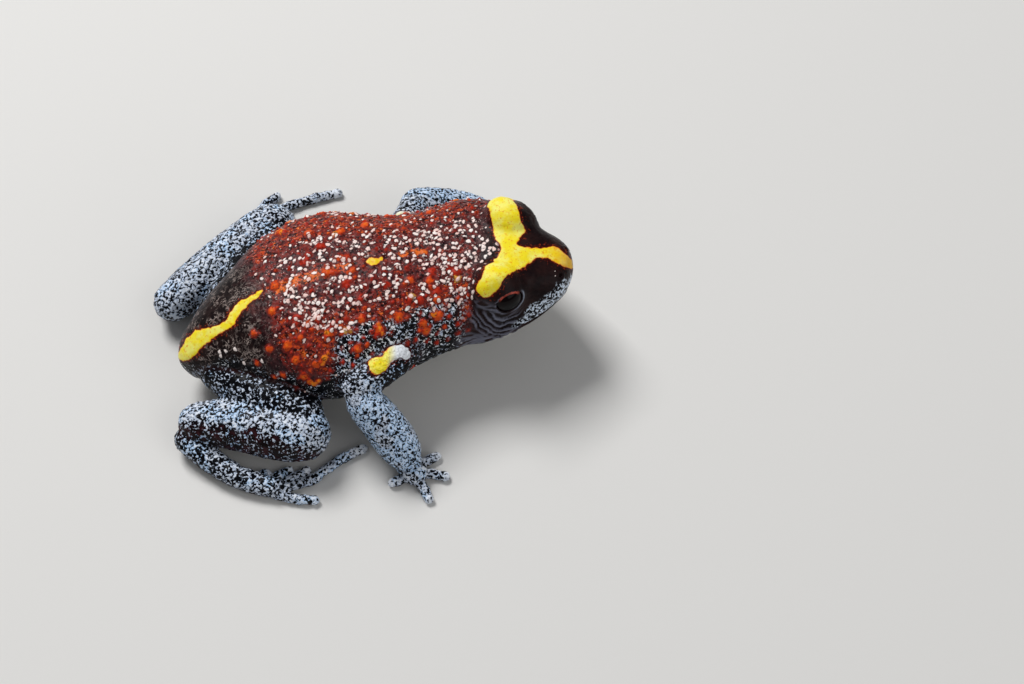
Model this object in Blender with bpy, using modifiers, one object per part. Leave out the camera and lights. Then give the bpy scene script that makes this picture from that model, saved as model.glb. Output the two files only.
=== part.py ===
"""A red-crowned toadlet at life size, as a still figure in named solids.

The toadlet faces +X, its left side is at +Y, and it stands on the plane z = 0.
Sizes and places are written in millimetres, as read from the animal, and every
shape is turned into metres as it is made. Places are measured from the middle
of the line from vent to snout, and FRAME_SHIFT then carries the whole figure
to the middle of its own floor plan.
"""
import math

import bmesh
import bpy
from mathutils import Matrix, Vector

# Overall
METRES = 0.001               # one millimetre in metres
GAP = 0.32                   # clear space kept between neighbouring solids
FRAME_SHIFT = (0.75, -1.45)   # floor plan of the figure to the origin, x and y
RINGS_APART = 0.85           # spacing of the rings along a body form
SECTION_POWER = 2.25         # squareness of the trunk's cross section, 2 is an ellipse
END_ROUNDING = 0.7           # reach of the round ends of the trunk
BODY_REACH = 2.4             # how far each way a ring of the trunk looks for its heading
LIMB_REACH = 0.1             # the same for a ring of a limb
LIP_CURVE = 1.6              # how much closer the mouth's points lie at the snout

# Trunk from vent to snout: x, y, half width, back height, widest height, belly height
TRUNK = (
    (-13.85, 0.2, 0.8, 3.9, 3.1, 2.3),
    (-13.1, 0.4, 1.5, 4.8, 3.1, 1.7),
    (-12.2, 0.6, 2.15, 5.7, 3.3, 1.3),
    (-10.9, 0.9, 3.1, 6.7, 3.6, 0.95),
    (-9.0, 1.25, 4.35, 7.6, 3.9, 0.7),
    (-6.8, 1.65, 5.8, 8.3, 4.3, 0.6),
    (-4.2, 1.95, 6.8, 8.75, 4.6, 0.65),
    (-1.8, 2.05, 6.85, 8.95, 4.7, 0.95),
    (0.4, 2.1, 6.15, 9.0, 4.8, 1.4),
    (2.7, 2.25, 5.45, 8.95, 4.9, 2.0),
    (5.0, 2.55, 5.3, 8.9, 5.1, 2.65),
)
# Head: distance behind the snout tip, half width, crown, widest and throat heights
SNOUT_TIP = (13.75, 0.42)
HEAD_YAW = math.radians(-19.0)
HEAD = (
    (7.1, 5.25, 9.0, 5.3, 3.15),
    (5.6, 5.0, 9.1, 5.5, 3.6),
    (4.2, 4.45, 9.1, 5.75, 4.05),
    (3.0, 3.62, 8.95, 6.0, 4.45),
    (1.9, 2.84, 8.75, 6.3, 4.85),
    (1.0, 2.2, 8.5, 6.6, 5.2),
    (0.0, 1.35, 8.0, 6.9, 5.8),
)
NECK_BEHIND_TIP = 7.6        # where the head is parted from the torso

# Head forms
EYE = (4.55, 2.6, 7.85)      # behind the tip, to the side, height
EYE_RADIUS = 1.27
EYE_TURN = math.radians(35)  # the eyes look this far forward of straight sideways
LID = (4.9, 2.7, 8.0)
LID_SIZE = (2.0, 1.83, 1.9)
EYE_SLIT_OUT = 1.5           # from the middle of the eye to the middle of the opening's cutter
EYE_SLIT_HEIGHT = 8.2
EYE_SLIT_SIZE = (1.15, 1.3, 0.95)
MOUTH_FRONT_HEIGHT = 5.85
MOUTH_DROP = 0.13            # fall of the mouth line for each millimetre back
MOUTH_CORNER = 6.0           # behind the snout tip
MOUTH_GROOVE = 0.16
LIP_SIZE = 0.42
LIP_INSET = 0.27
BEAD_END_SHARE = 0.3         # thickness of the lip and the mouth line at their corners
BEAD_TAPER = 6.0
NOSTRIL = (0.75, 1.0, 8.05)
NOSTRIL_SIZE = 0.24

# Limbs: x, y, z, radius, from root to end
UPPER_ARM = {
    "right": ((2.1, -1.2, 5.2, 1.6), (1.0, -3.1, 5.7, 1.4), (-0.7, -4.5, 5.8, 1.2), (-3.0, -5.6, 5.5, 1.1)),
    "left": ((2.4, 5.0, 5.0, 1.6), (2.9, 7.0, 4.8, 1.35), (3.6, 8.6, 4.3, 1.2), (4.3, 10.3, 3.8, 1.1)),
}
FOREARM = {
    "right": ((-2.4, -5.3, 5.9, 1.1), (-1.1, -6.6, 4.1, 1.4), (0.0, -7.9, 2.5, 1.45), (1.0, -9.4, 0.75, 1.2)),
    "left": ((3.0, 9.9, 4.0, 1.1), (5.1, 10.1, 3.1, 1.35), (7.3, 10.25, 2.0, 1.3), (9.6, 10.1, 0.9, 1.0)),
}
THIGH = {
    "right": ((-12.0, 0.6, 3.0, 1.6), (-9.9, -2.0, 3.1, 1.75), (-7.4, -4.2, 3.1, 1.75), (-4.7, -6.0, 2.9, 1.5)),
    "left": ((-12.0, 1.5, 3.0, 1.6), (-9.9, 4.4, 3.1, 1.75), (-7.4, 7.4, 3.1, 1.75), (-5.0, 9.9, 2.9, 1.5)),
}
SHANK = {
    "right": ((-4.2, -6.9, 2.7, 1.6), (-7.0, -6.2, 2.5, 2.0), (-10.4, -4.9, 2.3, 1.8), (-14.4, -3.8, 1.8, 1.25)),
    "left": ((-4.7, 11.2, 2.7, 1.6), (-7.2, 9.9, 2.5, 1.95), (-10.4, 7.9, 2.2, 1.8), (-15.2, 5.2, 1.7, 1.25)),
}
# Ankle bones and sole, then the toes from first to fifth
SOLE = {
    "right": ((-14.5, -4.2, 1.4, 1.0), (-12.9, -6.2, 1.0, 0.9), (-10.8, -8.1, 0.7, 0.8), (-7.9, -9.5, 0.5, 0.7)),
    "left": ((-15.0, 5.9, 1.3, 1.0), (-12.8, 8.4, 1.0, 0.9), (-9.9, 11.0, 0.7, 0.8), (-6.9, 13.1, 0.5, 0.7)),
}
TOES = {
    "right": (
        ((-9.9, -8.5), (-9.2, -8.0), (-8.6, -7.9)),
        ((-9.2, -8.9), (-8.1, -8.2), (-7.1, -7.9)),
        ((-8.6, -9.1), (-7.2, -8.6), (-5.9, -8.05)),
        ((-8.4, -9.4), (-6.0, -8.95), (-3.9, -7.75), (-1.9, -7.0)),
        ((-8.7, -9.6), (-7.1, -10.2), (-5.6, -10.55)),
    ),
    "left": (
        ((-8.6, 11.6), (-8.0, 11.6), (-7.3, 11.7)),
        ((-7.9, 12.1), (-6.9, 12.1), (-6.0, 12.2)),
        ((-7.3, 12.6), (-6.0, 12.8), (-4.7, 12.75)),
        ((-7.2, 12.9), (-5.0, 13.7), (-2.9, 14.1), (-0.9, 14.3)),
        ((-7.6, 13.1), (-6.6, 14.2), (-5.5, 14.9)),
    ),
}
PALM = {
    "right": ((0.4, -8.2, 1.1, 0.85), (0.9, -9.4, 0.75, 0.95), (1.4, -10.5, 0.4, 0.75)),
    "left": ((8.6, 10.6, 1.1, 0.8), (9.8, 10.0, 0.7, 0.9), (10.9, 9.4, 0.4, 0.75)),
}
FINGERS = {
    "right": (
        ((0.9, -9.3), (2.1, -8.8), (3.0, -8.5)),
        ((1.0, -9.6), (2.3, -9.9), (3.4, -10.3)),
        ((1.0, -9.8), (1.5, -10.9), (1.8, -12.0)),
        ((0.8, -9.6), (-0.1, -10.0), (-0.9, -10.1)),
    ),
    "left": (
        ((10.0, 9.6), (10.4, 8.6), (10.6, 7.8)),
        ((10.2, 9.7), (11.2, 9.1), (12.0, 8.5)),
        ((10.3, 9.8), (11.4, 9.9), (12.4, 9.8)),
        ((10.0, 10.0), (10.5, 10.7), (10.9, 11.3)),
    ),
}
DIGIT_RADIUS = 0.36
DIGIT_TIP_RADIUS = 0.34
DIGIT_HEIGHT = 0.26          # of a digit's axis over the floor, at its tip
DIGIT_ROOT_LIFT = 0.1

# Fineness
TRUNK_SIDES = 32
LIMB_SIDES = 14
DIGIT_SIDES = 12
LID_SIDES = 32
EYE_SIDES = 20
SOCKET_SIDES = 16
NOSTRIL_SIDES = 8
LIP_STEPS = 40
GROOVE_STEPS = 17
DIGIT_RINGS_APART = 0.5
END_RING_ANGLES = (22, 45, 68)
HEAD_VOXEL = 0.17
HEAD_SMOOTHING = 3
HEAD_TRIANGLES = 2000
DIGIT_VOXEL = 0.13
DIGIT_SMOOTHING = 1
HAND_TRIANGLES = 480
FOOT_TRIANGLES = 660
SHARP_EDGE = math.radians(50)

# Colour, roughness
SKIN_BACK = ((0.085, 0.022, 0.014, 1.0), 0.42)
SKIN_HEAD = ((0.055, 0.020, 0.016, 1.0), 0.40)
SKIN_LIMB = ((0.200, 0.240, 0.320, 1.0), 0.45)
EYE_GLOSS = ((0.010, 0.006, 0.005, 1.0), 0.06)


def clear_scene():
    for old in list(bpy.data.objects):
        bpy.data.objects.remove(old, do_unlink=True)


def collection(name):
    made = bpy.data.collections.new(name)
    bpy.context.scene.collection.children.link(made)
    return made


def material(name, look):
    colour, roughness = look
    made = bpy.data.materials.new(name)
    made.use_nodes = True
    shader = made.node_tree.nodes["Principled BSDF"]
    shader.inputs["Base Color"].default_value = colour
    shader.inputs["Roughness"].default_value = roughness
    shader.inputs["Metallic"].default_value = 0.0
    return made


def to_world(x, y, z):
    """A place on the figure, in millimetres, as a point of the scene."""
    return Vector((x + FRAME_SHIFT[0], y + FRAME_SHIFT[1], z)) * METRES


def head_place(behind, aside, height):
    """A place given behind the snout tip and to the left of the head's own line."""
    forward = Vector((math.cos(HEAD_YAW), math.sin(HEAD_YAW)))
    left = Vector((-forward.y, forward.x))
    plan = Vector(SNOUT_TIP) - forward * behind + left * aside
    return plan.x, plan.y, height


def smooth_rows(rows, wanted):
    """Rows read at the wanted distances from a smooth curve through the given rows."""
    places = [0.0]
    for before, after in zip(rows, rows[1:]):
        places.append(places[-1] + math.dist(before[:2], after[:2]) + 1e-6)
    slopes = []
    for index in range(len(rows)):
        low = max(index - 1, 0)
        high = min(index + 1, len(rows) - 1)
        run = places[high] - places[low]
        slopes.append([(b - a) / run for a, b in zip(rows[low], rows[high])])
    result = []
    for place in wanted:
        place = min(max(place, 0.0), places[-1])
        index = max(i for i in range(len(rows) - 1) if places[i] <= place or i == 0)
        run = places[index + 1] - places[index]
        t = (place - places[index]) / run
        start_share = 2 * t ** 3 - 3 * t ** 2 + 1
        end_share = 1 - start_share
        start_bend = (t ** 3 - 2 * t ** 2 + t) * run
        end_bend = (t ** 3 - t ** 2) * run
        result.append([
            start_share * a + end_share * b + start_bend * m + end_bend * n
            for a, b, m, n in zip(rows[index], rows[index + 1], slopes[index], slopes[index + 1])
        ])
    return result


def length_of(rows):
    return sum(math.dist(a[:2], b[:2]) + 1e-6 for a, b in zip(rows, rows[1:]))


def ring_places(length, first_radius, last_radius, apart):
    """Distances and shrink factors of rings: two round ends and an even run between."""
    first_radius = min(first_radius, length * 0.45)
    last_radius = min(last_radius, length * 0.45)
    rounding = [math.radians(angle) for angle in END_RING_ANGLES]
    ends = [(first_radius * (1 - math.cos(a)), math.sin(a)) for a in rounding]
    count = max(2, round((length - first_radius - last_radius) / apart))
    run = (length - first_radius - last_radius) / count
    middle = [(first_radius + run * i, 1.0) for i in range(count + 1)]
    tail = [(length - last_radius * (1 - math.cos(a)), math.sin(a)) for a in reversed(rounding)]
    return ends + middle + tail


def skin_rings(name, rings, first_point, last_point):
    """A closed mesh from rings of points, with a point at each end."""
    mesh = bmesh.new()
    loops = [[mesh.verts.new(point) for point in ring] for ring in rings]
    for near, far in zip(loops, loops[1:]):
        for i in range(len(near)):
            j = (i + 1) % len(near)
            mesh.faces.new((near[i], near[j], far[j], far[i]))
    for loop, point in ((loops[0], first_point), (loops[-1], last_point)):
        pole = mesh.verts.new(point)
        for i in range(len(loop)):
            mesh.faces.new((loop[i], loop[(i + 1) % len(loop)], pole))
    bmesh.ops.recalc_face_normals(mesh, faces=mesh.faces)
    data = bpy.data.meshes.new(name)
    mesh.to_mesh(data)
    mesh.free()
    return link(name, data)


def link(name, data):
    made = bpy.data.objects.new(name, data)
    WORKSHOP.objects.link(made)
    return made


def trunk_rows():
    """The stations of trunk and head in one list: x, y, half width, back, widest, belly."""
    head = []
    for behind, half_width, crown, widest, throat in HEAD:
        x, y, _ = head_place(behind, 0.0, 0.0)
        head.append((x, y, half_width, crown, widest, throat))
    return list(TRUNK) + head


def squared(value):
    return math.copysign(abs(value) ** (2.0 / SECTION_POWER), value)


def trunk_ring(row, along, shrink, sides):
    x, y, half_width, back, widest, belly = row
    left = Vector((-along.y, along.x))
    ring = []
    for i in range(sides):
        angle = math.tau * i / sides
        aside = half_width * shrink * squared(math.cos(angle))
        rise = squared(math.sin(angle)) * shrink
        height = widest + rise * ((back - widest) if rise > 0 else (widest - belly))
        ring.append(to_world(x + left.x * aside, y + left.y * aside, height))
    return ring


def trunk(sides, apart):
    """Torso and head as one loft from the vent to the tip of the snout."""
    rows = trunk_rows()
    length = length_of(rows)
    places = ring_places(length, END_ROUNDING, END_ROUNDING, apart)
    ends = smooth_rows(rows, (0.0, length))
    rings = []
    for place, shrink in places:
        row, ahead, behind = smooth_rows(rows, (place, place + BODY_REACH, place - BODY_REACH))
        along = Vector((ahead[0] - behind[0], ahead[1] - behind[1])).normalized()
        rings.append(trunk_ring(row, along, shrink, sides))
    caps = [to_world(end[0], end[1], end[4]) for end in ends]
    return skin_rings("trunk", rings, caps[0], caps[1])


def limb(name, stations, sides, apart=RINGS_APART):
    """A round tapering limb along a smooth path, with rounded ends."""
    line = [list(station) for station in stations]
    length = length_of(line)
    places = ring_places(length, stations[0][3], stations[-1][3], apart)
    rings = []
    for place, shrink in places:
        row, ahead, behind = smooth_rows(line, (place, place + LIMB_REACH, place - LIMB_REACH))
        along = (Vector(ahead[:3]) - Vector(behind[:3])).normalized()
        side = along.cross(Vector((0, 0, 1))).normalized()
        up = side.cross(along).normalized()
        centre = Vector(row[:3])
        radius = row[3] * shrink
        ring = []
        for i in range(sides):
            angle = math.tau * i / sides
            point = centre + (side * math.cos(angle) + up * math.sin(angle)) * radius
            ring.append(to_world(*point))
        rings.append(ring)
    return skin_rings(name, rings, to_world(*line[0][:3]), to_world(*line[-1][:3]))


def digit(name, path):
    """A finger or toe laid along the floor, a little swollen at its tip."""
    last = len(path) - 1
    stations = []
    for index, (x, y) in enumerate(path):
        radius = DIGIT_TIP_RADIUS if index == last else DIGIT_RADIUS
        height = DIGIT_HEIGHT + DIGIT_ROOT_LIFT * (1 - index / last)
        stations.append((x, y, height, radius))
    return limb(name, stations, DIGIT_SIDES, DIGIT_RINGS_APART)


def ball(name, place, size, sides, aim=0.0):
    """An ellipsoid whose long axis lies at an angle to the head's own line."""
    bpy.ops.mesh.primitive_uv_sphere_add(segments=sides, ring_count=sides * 3 // 5, radius=1.0)
    made = bpy.context.object
    for holder in list(made.users_collection):
        holder.objects.unlink(made)
    WORKSHOP.objects.link(made)
    made.name = name
    made.data.name = name
    turn = Matrix.Rotation(HEAD_YAW + aim, 4, "Z")
    shape = Matrix.Diagonal((size[0], size[1], size[2], 1.0)) @ Matrix.Scale(METRES, 4)
    made.data.transform(Matrix.Translation(to_world(*place)) @ turn @ shape)
    return made


def settle(made):
    """Replaces an object's mesh by its evaluated one and clears its modifiers."""
    graph = bpy.context.evaluated_depsgraph_get()
    data = bpy.data.meshes.new_from_object(made.evaluated_get(graph))
    made.modifiers.clear()
    old = made.data
    made.data = data
    bpy.data.meshes.remove(old)
    return made


def copy_of(source, name):
    return link(name, source.data.copy())


def join(name, pieces):
    """One object that holds the pieces, still separate bodies inside it."""
    mesh = bmesh.new()
    for piece in pieces:
        mesh.from_mesh(piece.data)
        bpy.data.objects.remove(piece, do_unlink=True)
    data = bpy.data.meshes.new(name)
    mesh.to_mesh(data)
    mesh.free()
    return link(name, data)


def melt(name, pieces, voxel, smoothing):
    """Melts closed pieces into one smooth skin."""
    made = join(name, pieces)
    remesh = made.modifiers.new("melt", "REMESH")
    remesh.mode = "VOXEL"
    remesh.voxel_size = voxel * METRES
    smooth = made.modifiers.new("soften", "SMOOTH")
    smooth.factor = 0.5
    smooth.iterations = smoothing
    return settle(made)


def thin_out(made, triangles):
    """Brings a mesh down to about the wanted number of triangles."""
    thin = made.modifiers.new("thin", "DECIMATE")
    thin.ratio = triangles / sum(len(face.vertices) - 2 for face in made.data.polygons)
    return settle(made)


def swollen(source):
    """A copy grown by the gap, for cutting clear space round a form."""
    made = copy_of(source, source.name + ".clear")
    grow = made.modifiers.new("grow", "DISPLACE")
    grow.mid_level = 0.0
    grow.strength = GAP * METRES
    return settle(made)


def cut(made, cutters):
    for cutter in cutters:
        change = made.modifiers.new("cut", "BOOLEAN")
        change.operation = "DIFFERENCE"
        change.object = cutter
    settle(made)
    return keep_largest(made)


def keep_largest(made):
    """Keeps the closed surface with the most faces."""
    mesh = bmesh.new()
    mesh.from_mesh(made.data)
    left = set(mesh.faces)
    groups = []
    while left:
        group = {left.pop()}
        front = list(group)
        while front:
            face = front.pop()
            for edge in face.edges:
                for other in edge.link_faces:
                    if other in left:
                        left.discard(other)
                        group.add(other)
                        front.append(other)
        groups.append(group)
    groups.sort(key=len)
    spare = [face for group in groups[:-1] for face in group]
    if spare:
        bmesh.ops.delete(mesh, geom=spare, context="FACES")
        loose = [vert for vert in mesh.verts if not vert.link_faces]
        bmesh.ops.delete(mesh, geom=loose, context="VERTS")
    mesh.to_mesh(made.data)
    mesh.free()
    return made


def slice_flat(made, point, normal):
    """Cuts away what lies on the side the normal points to and closes the cut flat."""
    mesh = bmesh.new()
    mesh.from_mesh(made.data)
    everything = list(mesh.verts) + list(mesh.edges) + list(mesh.faces)
    result = bmesh.ops.bisect_plane(
        mesh, geom=everything, dist=1e-7, plane_co=point, plane_no=normal, clear_outer=True
    )
    rim = [item for item in result["geom_cut"] if isinstance(item, bmesh.types.BMEdge)]
    bmesh.ops.holes_fill(mesh, edges=rim, sides=0)
    bmesh.ops.recalc_face_normals(mesh, faces=mesh.faces)
    mesh.to_mesh(made.data)
    mesh.free()
    return keep_largest(made)


def mouth_path(inset, steps):
    """Points of the mouth line round the snout, so far inside the skin of the head."""
    rows = trunk_rows()
    total = length_of(rows)
    side_line = []
    for step in range(steps + 1):
        behind = MOUTH_CORNER * (step / steps) ** LIP_CURVE
        height = MOUTH_FRONT_HEIGHT - MOUTH_DROP * behind
        row = smooth_rows(rows, (total - behind,))[0]
        short = max(0.0, 1.0 - behind / END_ROUNDING)
        shrink = math.sqrt(1.0 - short * short)
        reach_down = (row[4] - row[5]) * shrink - inset
        if row[4] - height >= reach_down:
            continue
        depth = (row[4] - height) / reach_down
        full_width = row[2] * shrink - inset
        half_width = full_width * (1 - depth ** SECTION_POWER) ** (1 / SECTION_POWER)
        side_line.append((behind, half_width, height))
    right = [head_place(b, -w, h) for b, w, h in reversed(side_line)]
    left = [head_place(b, w, h) for b, w, h in side_line]
    return right + left


def bead(name, places, radius):
    """A round bead along a path, thinner towards both ends, as a closed mesh."""
    curve = bpy.data.curves.new(name, "CURVE")
    curve.dimensions = "3D"
    curve.bevel_depth = radius * METRES
    curve.bevel_resolution = 1
    curve.use_fill_caps = True
    spline = curve.splines.new("POLY")
    spline.points.add(len(places) - 1)
    for index, (point, place) in enumerate(zip(spline.points, places)):
        point.co = (*to_world(*place), 1.0)
        from_end = min(index, len(places) - 1 - index) / len(places)
        point.radius = min(1.0, BEAD_END_SHARE + from_end * BEAD_TAPER)
    holder = link(name, curve)
    graph = bpy.context.evaluated_depsgraph_get()
    data = bpy.data.meshes.new_from_object(holder.evaluated_get(graph))
    bpy.data.objects.remove(holder, do_unlink=True)
    mesh = bmesh.new()
    mesh.from_mesh(data)
    bmesh.ops.remove_doubles(mesh, verts=mesh.verts, dist=1e-7)
    bmesh.ops.recalc_face_normals(mesh, faces=mesh.faces)
    mesh.to_mesh(data)
    mesh.free()
    return link(name, data)


def neck_plane():
    """A point on the neck and the head's forward direction there."""
    forward = Vector((math.cos(HEAD_YAW), math.sin(HEAD_YAW), 0.0))
    return to_world(*head_place(NECK_BEHIND_TIP, 0.0, 5.0)), forward


def make_head(whole):
    lip = bead("lip", mouth_path(LIP_INSET, LIP_STEPS), LIP_SIZE)
    pieces = [copy_of(whole, "head.core"), lip]
    for side in (1, -1):
        place = head_place(LID[0], side * LID[1], LID[2])
        pieces.append(ball("lid", place, LID_SIZE, LID_SIDES))
    head = melt("head", pieces, HEAD_VOXEL, HEAD_SMOOTHING)
    point, forward = neck_plane()
    slice_flat(head, point + forward * GAP * METRES / 2, -forward)
    thin_out(head, HEAD_TRIANGLES)
    tools = [bead("mouth.cut", mouth_path(0.0, GROOVE_STEPS), MOUTH_GROOVE)]
    for side in (1, -1):
        eye = head_place(EYE[0], side * EYE[1], EYE[2])
        socket = EYE_RADIUS + GAP
        tools.append(ball("socket.cut", eye, (socket,) * 3, SOCKET_SIDES))
        nearer = EYE[0] - EYE_SLIT_OUT * math.sin(EYE_TURN)
        outward = EYE[1] + EYE_SLIT_OUT * math.cos(EYE_TURN)
        slit = head_place(nearer, side * outward, EYE_SLIT_HEIGHT)
        tools.append(ball("slit.cut", slit, EYE_SLIT_SIZE, SOCKET_SIDES, -side * EYE_TURN))
        nostril = head_place(NOSTRIL[0], side * NOSTRIL[1], NOSTRIL[2])
        tools.append(ball("nostril.cut", nostril, (NOSTRIL_SIZE,) * 3, NOSTRIL_SIDES))
    cut(head, tools)
    discard(tools)
    return head


def make_eye(name, side):
    place = head_place(EYE[0], side * EYE[1], EYE[2])
    return ball(name, place, (EYE_RADIUS,) * 3, EYE_SIDES)


def extremity(name, base, digits, triangles):
    """A hand or foot: its base and digits in one skin, flat on the floor."""
    pieces = [limb(name + ".base", base, DIGIT_SIDES, DIGIT_RINGS_APART)]
    for index, path in enumerate(digits):
        pieces.append(digit(f"{name}.{index}", path))
    made = melt(name, pieces, DIGIT_VOXEL, DIGIT_SMOOTHING)
    thin_out(made, triangles)
    return slice_flat(made, Vector((0, 0, 0)), Vector((0, 0, -1)))


def discard(spares):
    for spare in spares:
        bpy.data.objects.remove(spare, do_unlink=True)


def finish(made, look, shared):
    """Moves a finished solid to the figure's own collection and gives it its material."""
    made.data.materials.clear()
    made.data.materials.append(look)
    made.data.shade_smooth()
    made.data.set_sharp_from_angle(angle=SHARP_EDGE)
    WORKSHOP.objects.unlink(made)
    shared.objects.link(made)


def build():
    figure = collection("red_crowned_toadlet")
    back = material("skin_back", SKIN_BACK)
    crown = material("skin_head", SKIN_HEAD)
    limbs = material("skin_limb", SKIN_LIMB)
    gloss = material("eye_gloss", EYE_GLOSS)

    whole = trunk(TRUNK_SIDES, RINGS_APART)
    point, forward = neck_plane()
    torso = slice_flat(copy_of(whole, "torso"), point - forward * GAP * METRES / 2, forward)
    head = make_head(whole)
    torso_clear = swollen(whole)
    finish(torso, back, figure)
    finish(head, crown, figure)

    for side, sign in (("left", 1), ("right", -1)):
        finish(make_eye(f"eye_{side}", sign), gloss, figure)

        upper = limb(f"upper_arm_{side}", UPPER_ARM[side], LIMB_SIDES)
        fore = limb(f"forearm_{side}", FOREARM[side], LIMB_SIDES)
        hand = extremity(f"hand_{side}", PALM[side], FINGERS[side], HAND_TRIANGLES)
        upper_clear = swollen(upper)
        fore_clear = swollen(fore)
        cut(hand, [fore_clear])
        cut(fore, [torso_clear, upper_clear])
        cut(upper, [torso_clear])

        thigh = limb(f"thigh_{side}", THIGH[side], LIMB_SIDES)
        shank = limb(f"shank_{side}", SHANK[side], LIMB_SIDES)
        foot = extremity(f"foot_{side}", SOLE[side], TOES[side], FOOT_TRIANGLES)
        shank_clear = swollen(shank)
        cut(foot, [shank_clear])
        cut(shank, [torso_clear])
        cut(thigh, [torso_clear, shank_clear])
        discard([upper_clear, fore_clear, shank_clear])
        for made in (upper, fore, hand, thigh, shank, foot):
            finish(made, limbs, figure)

    discard([whole, torso_clear])


clear_scene()
WORKSHOP = collection("workshop")
build()
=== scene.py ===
"""The looks of a red-crowned toadlet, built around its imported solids.

One skin covers the body, head, limbs and digits, and the two eyes stay pieces of their own. Places are
written in millimetres, in the animal's own layout: x runs from vent to snout, y to its left, z up from the
floor it stands on. FRAME_SHIFT carries them to the layout of the solids, and METRES turns them into metres.
Markings that the photo shows are outlines in its pixels, and PhotoView says where on the skin they lie.
"""
import logging
import math
from dataclasses import dataclass
from enum import Enum
from typing import Iterable, Sequence

import bmesh
import bpy
import numpy as np
from mathutils import Matrix, Vector, kdtree, noise
from mathutils.bvhtree import BVHTree

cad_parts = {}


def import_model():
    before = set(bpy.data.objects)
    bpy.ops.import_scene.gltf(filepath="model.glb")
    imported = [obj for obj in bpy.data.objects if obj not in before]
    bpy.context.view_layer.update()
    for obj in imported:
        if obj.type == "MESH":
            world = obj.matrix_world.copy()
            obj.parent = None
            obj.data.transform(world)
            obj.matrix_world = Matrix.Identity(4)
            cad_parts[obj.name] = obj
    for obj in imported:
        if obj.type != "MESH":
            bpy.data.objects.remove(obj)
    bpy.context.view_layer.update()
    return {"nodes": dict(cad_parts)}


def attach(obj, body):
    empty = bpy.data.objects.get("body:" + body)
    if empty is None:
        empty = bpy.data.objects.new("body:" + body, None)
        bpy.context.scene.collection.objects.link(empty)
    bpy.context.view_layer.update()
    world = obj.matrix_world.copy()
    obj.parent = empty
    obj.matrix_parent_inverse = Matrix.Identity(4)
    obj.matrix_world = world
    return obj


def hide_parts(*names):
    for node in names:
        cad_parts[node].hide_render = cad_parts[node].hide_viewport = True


METRES = 0.001
FRAME_SHIFT = (0.75, -1.45)
SEED = 20
LEAST_CHANCE = 1e-12
END_ANGLES = range(12, 90, 13)
LONGEST_END = 0.45

Row = Sequence[float]
Pair = tuple[float, float]
Place = tuple[float, float, float]
Values = np.ndarray
Outline = Sequence[Pair]
Colour = tuple[float, float, float, float]
Layers = dict[str, Values]
Piece = bpy.types.Object
Mesh = bpy.types.Mesh
Material = bpy.types.Material
Node = bpy.types.Node
Socket = bpy.types.NodeSocket
Feeds = dict[str | int, object]

log = logging.getLogger("toadlet")


class Side(Enum):
    """A side of the animal, with the sign of its y."""

    LEFT = 1
    RIGHT = -1


def to_world(x: float, y: float, z: float) -> Vector:
    """A place on the animal, in millimetres, as a point of the scene in metres."""
    return Vector((x + FRAME_SHIFT[0], y + FRAME_SHIFT[1], z)) * METRES


def to_animal(points: Values) -> Values:
    """Points of the scene in metres as places on the animal in millimetres."""
    return points / METRES - np.array((*FRAME_SHIFT, 0.0))


def smoothstep(low: float, high: float, value: Values) -> Values:
    """A soft step from 0 at low to 1 at high; low may be the larger of the two."""
    t = np.clip((value - low) / (high - low), 0.0, 1.0)
    return t * t * (3.0 - 2.0 * t)


def window(value: Values, start: float, end: float, soft: float) -> Values:
    """One between start and end, falling softly to nothing outside them."""
    return smoothstep(start - soft, start + soft, value) * smoothstep(end + soft, end - soft, value)


def linear(red: int, green: int, blue: int) -> Colour:
    """A colour given as it looks on a screen, in the linear values that shaders take."""
    shares = [part / 255.0 for part in (red, green, blue)]
    return (*(s / 12.92 if s <= 0.04045 else ((s + 0.055) / 1.055) ** 2.4 for s in shares), 1.0)


def smooth_rows(rows: Sequence[Row], wanted: Iterable[float]) -> list[list[float]]:
    """Reads rows from a smooth curve through the given ones.

    Args:
        rows: Stations along a form, whose first two numbers are a place in plan.
        wanted: Distances along the curve, measured in plan.

    Returns:
        One row for each wanted distance.
    """
    places = [0.0]
    for before, after in zip(rows, rows[1:]):
        places.append(places[-1] + math.dist(before[:2], after[:2]) + 1e-6)
    slopes = []
    for index in range(len(rows)):
        low = max(index - 1, 0)
        high = min(index + 1, len(rows) - 1)
        run = places[high] - places[low]
        slopes.append([(b - a) / run for a, b in zip(rows[low], rows[high])])
    result = []
    for place in wanted:
        place = min(max(place, 0.0), places[-1])
        index = max(i for i in range(len(rows) - 1) if places[i] <= place or i == 0)
        run = places[index + 1] - places[index]
        t = (place - places[index]) / run
        end_share = 3 * t ** 2 - 2 * t ** 3
        start_bend = (t ** 3 - 2 * t ** 2 + t) * run
        end_bend = (t ** 3 - t ** 2) * run
        result.append([
            (1 - end_share) * a + end_share * b + start_bend * m + end_bend * n
            for a, b, m, n in zip(rows[index], rows[index + 1], slopes[index], slopes[index + 1])
        ])
    return result


def length_of(rows: Sequence[Row]) -> float:
    """The length in plan of the line through the rows."""
    return sum(math.dist(a[:2], b[:2]) + 1e-6 for a, b in zip(rows, rows[1:]))


def ring_places(length: float, first: float, last: float, apart: float) -> list[Pair]:
    """Where the rings of a form with two round ends lie.

    Args:
        length: The whole form, tip to tip.
        first: How far the first end's rounding reaches.
        last: How far the last end's rounding reaches.
        apart: The spacing of rings between the ends.

    Returns:
        Distances along the form, each with the share of its full size.
    """
    first = min(first, length * LONGEST_END)
    last = min(last, length * LONGEST_END)
    angles = [math.radians(angle) for angle in END_ANGLES]
    ends = [(first * (1 - math.cos(a)), math.sin(a)) for a in angles]
    count = max(2, round((length - first - last) / apart))
    run = (length - first - last) / count
    middle = [(first + run * i, 1.0) for i in range(count + 1)]
    tail = [(length - last * (1 - math.cos(a)), math.sin(a)) for a in reversed(angles)]
    return ends + middle + tail


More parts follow.
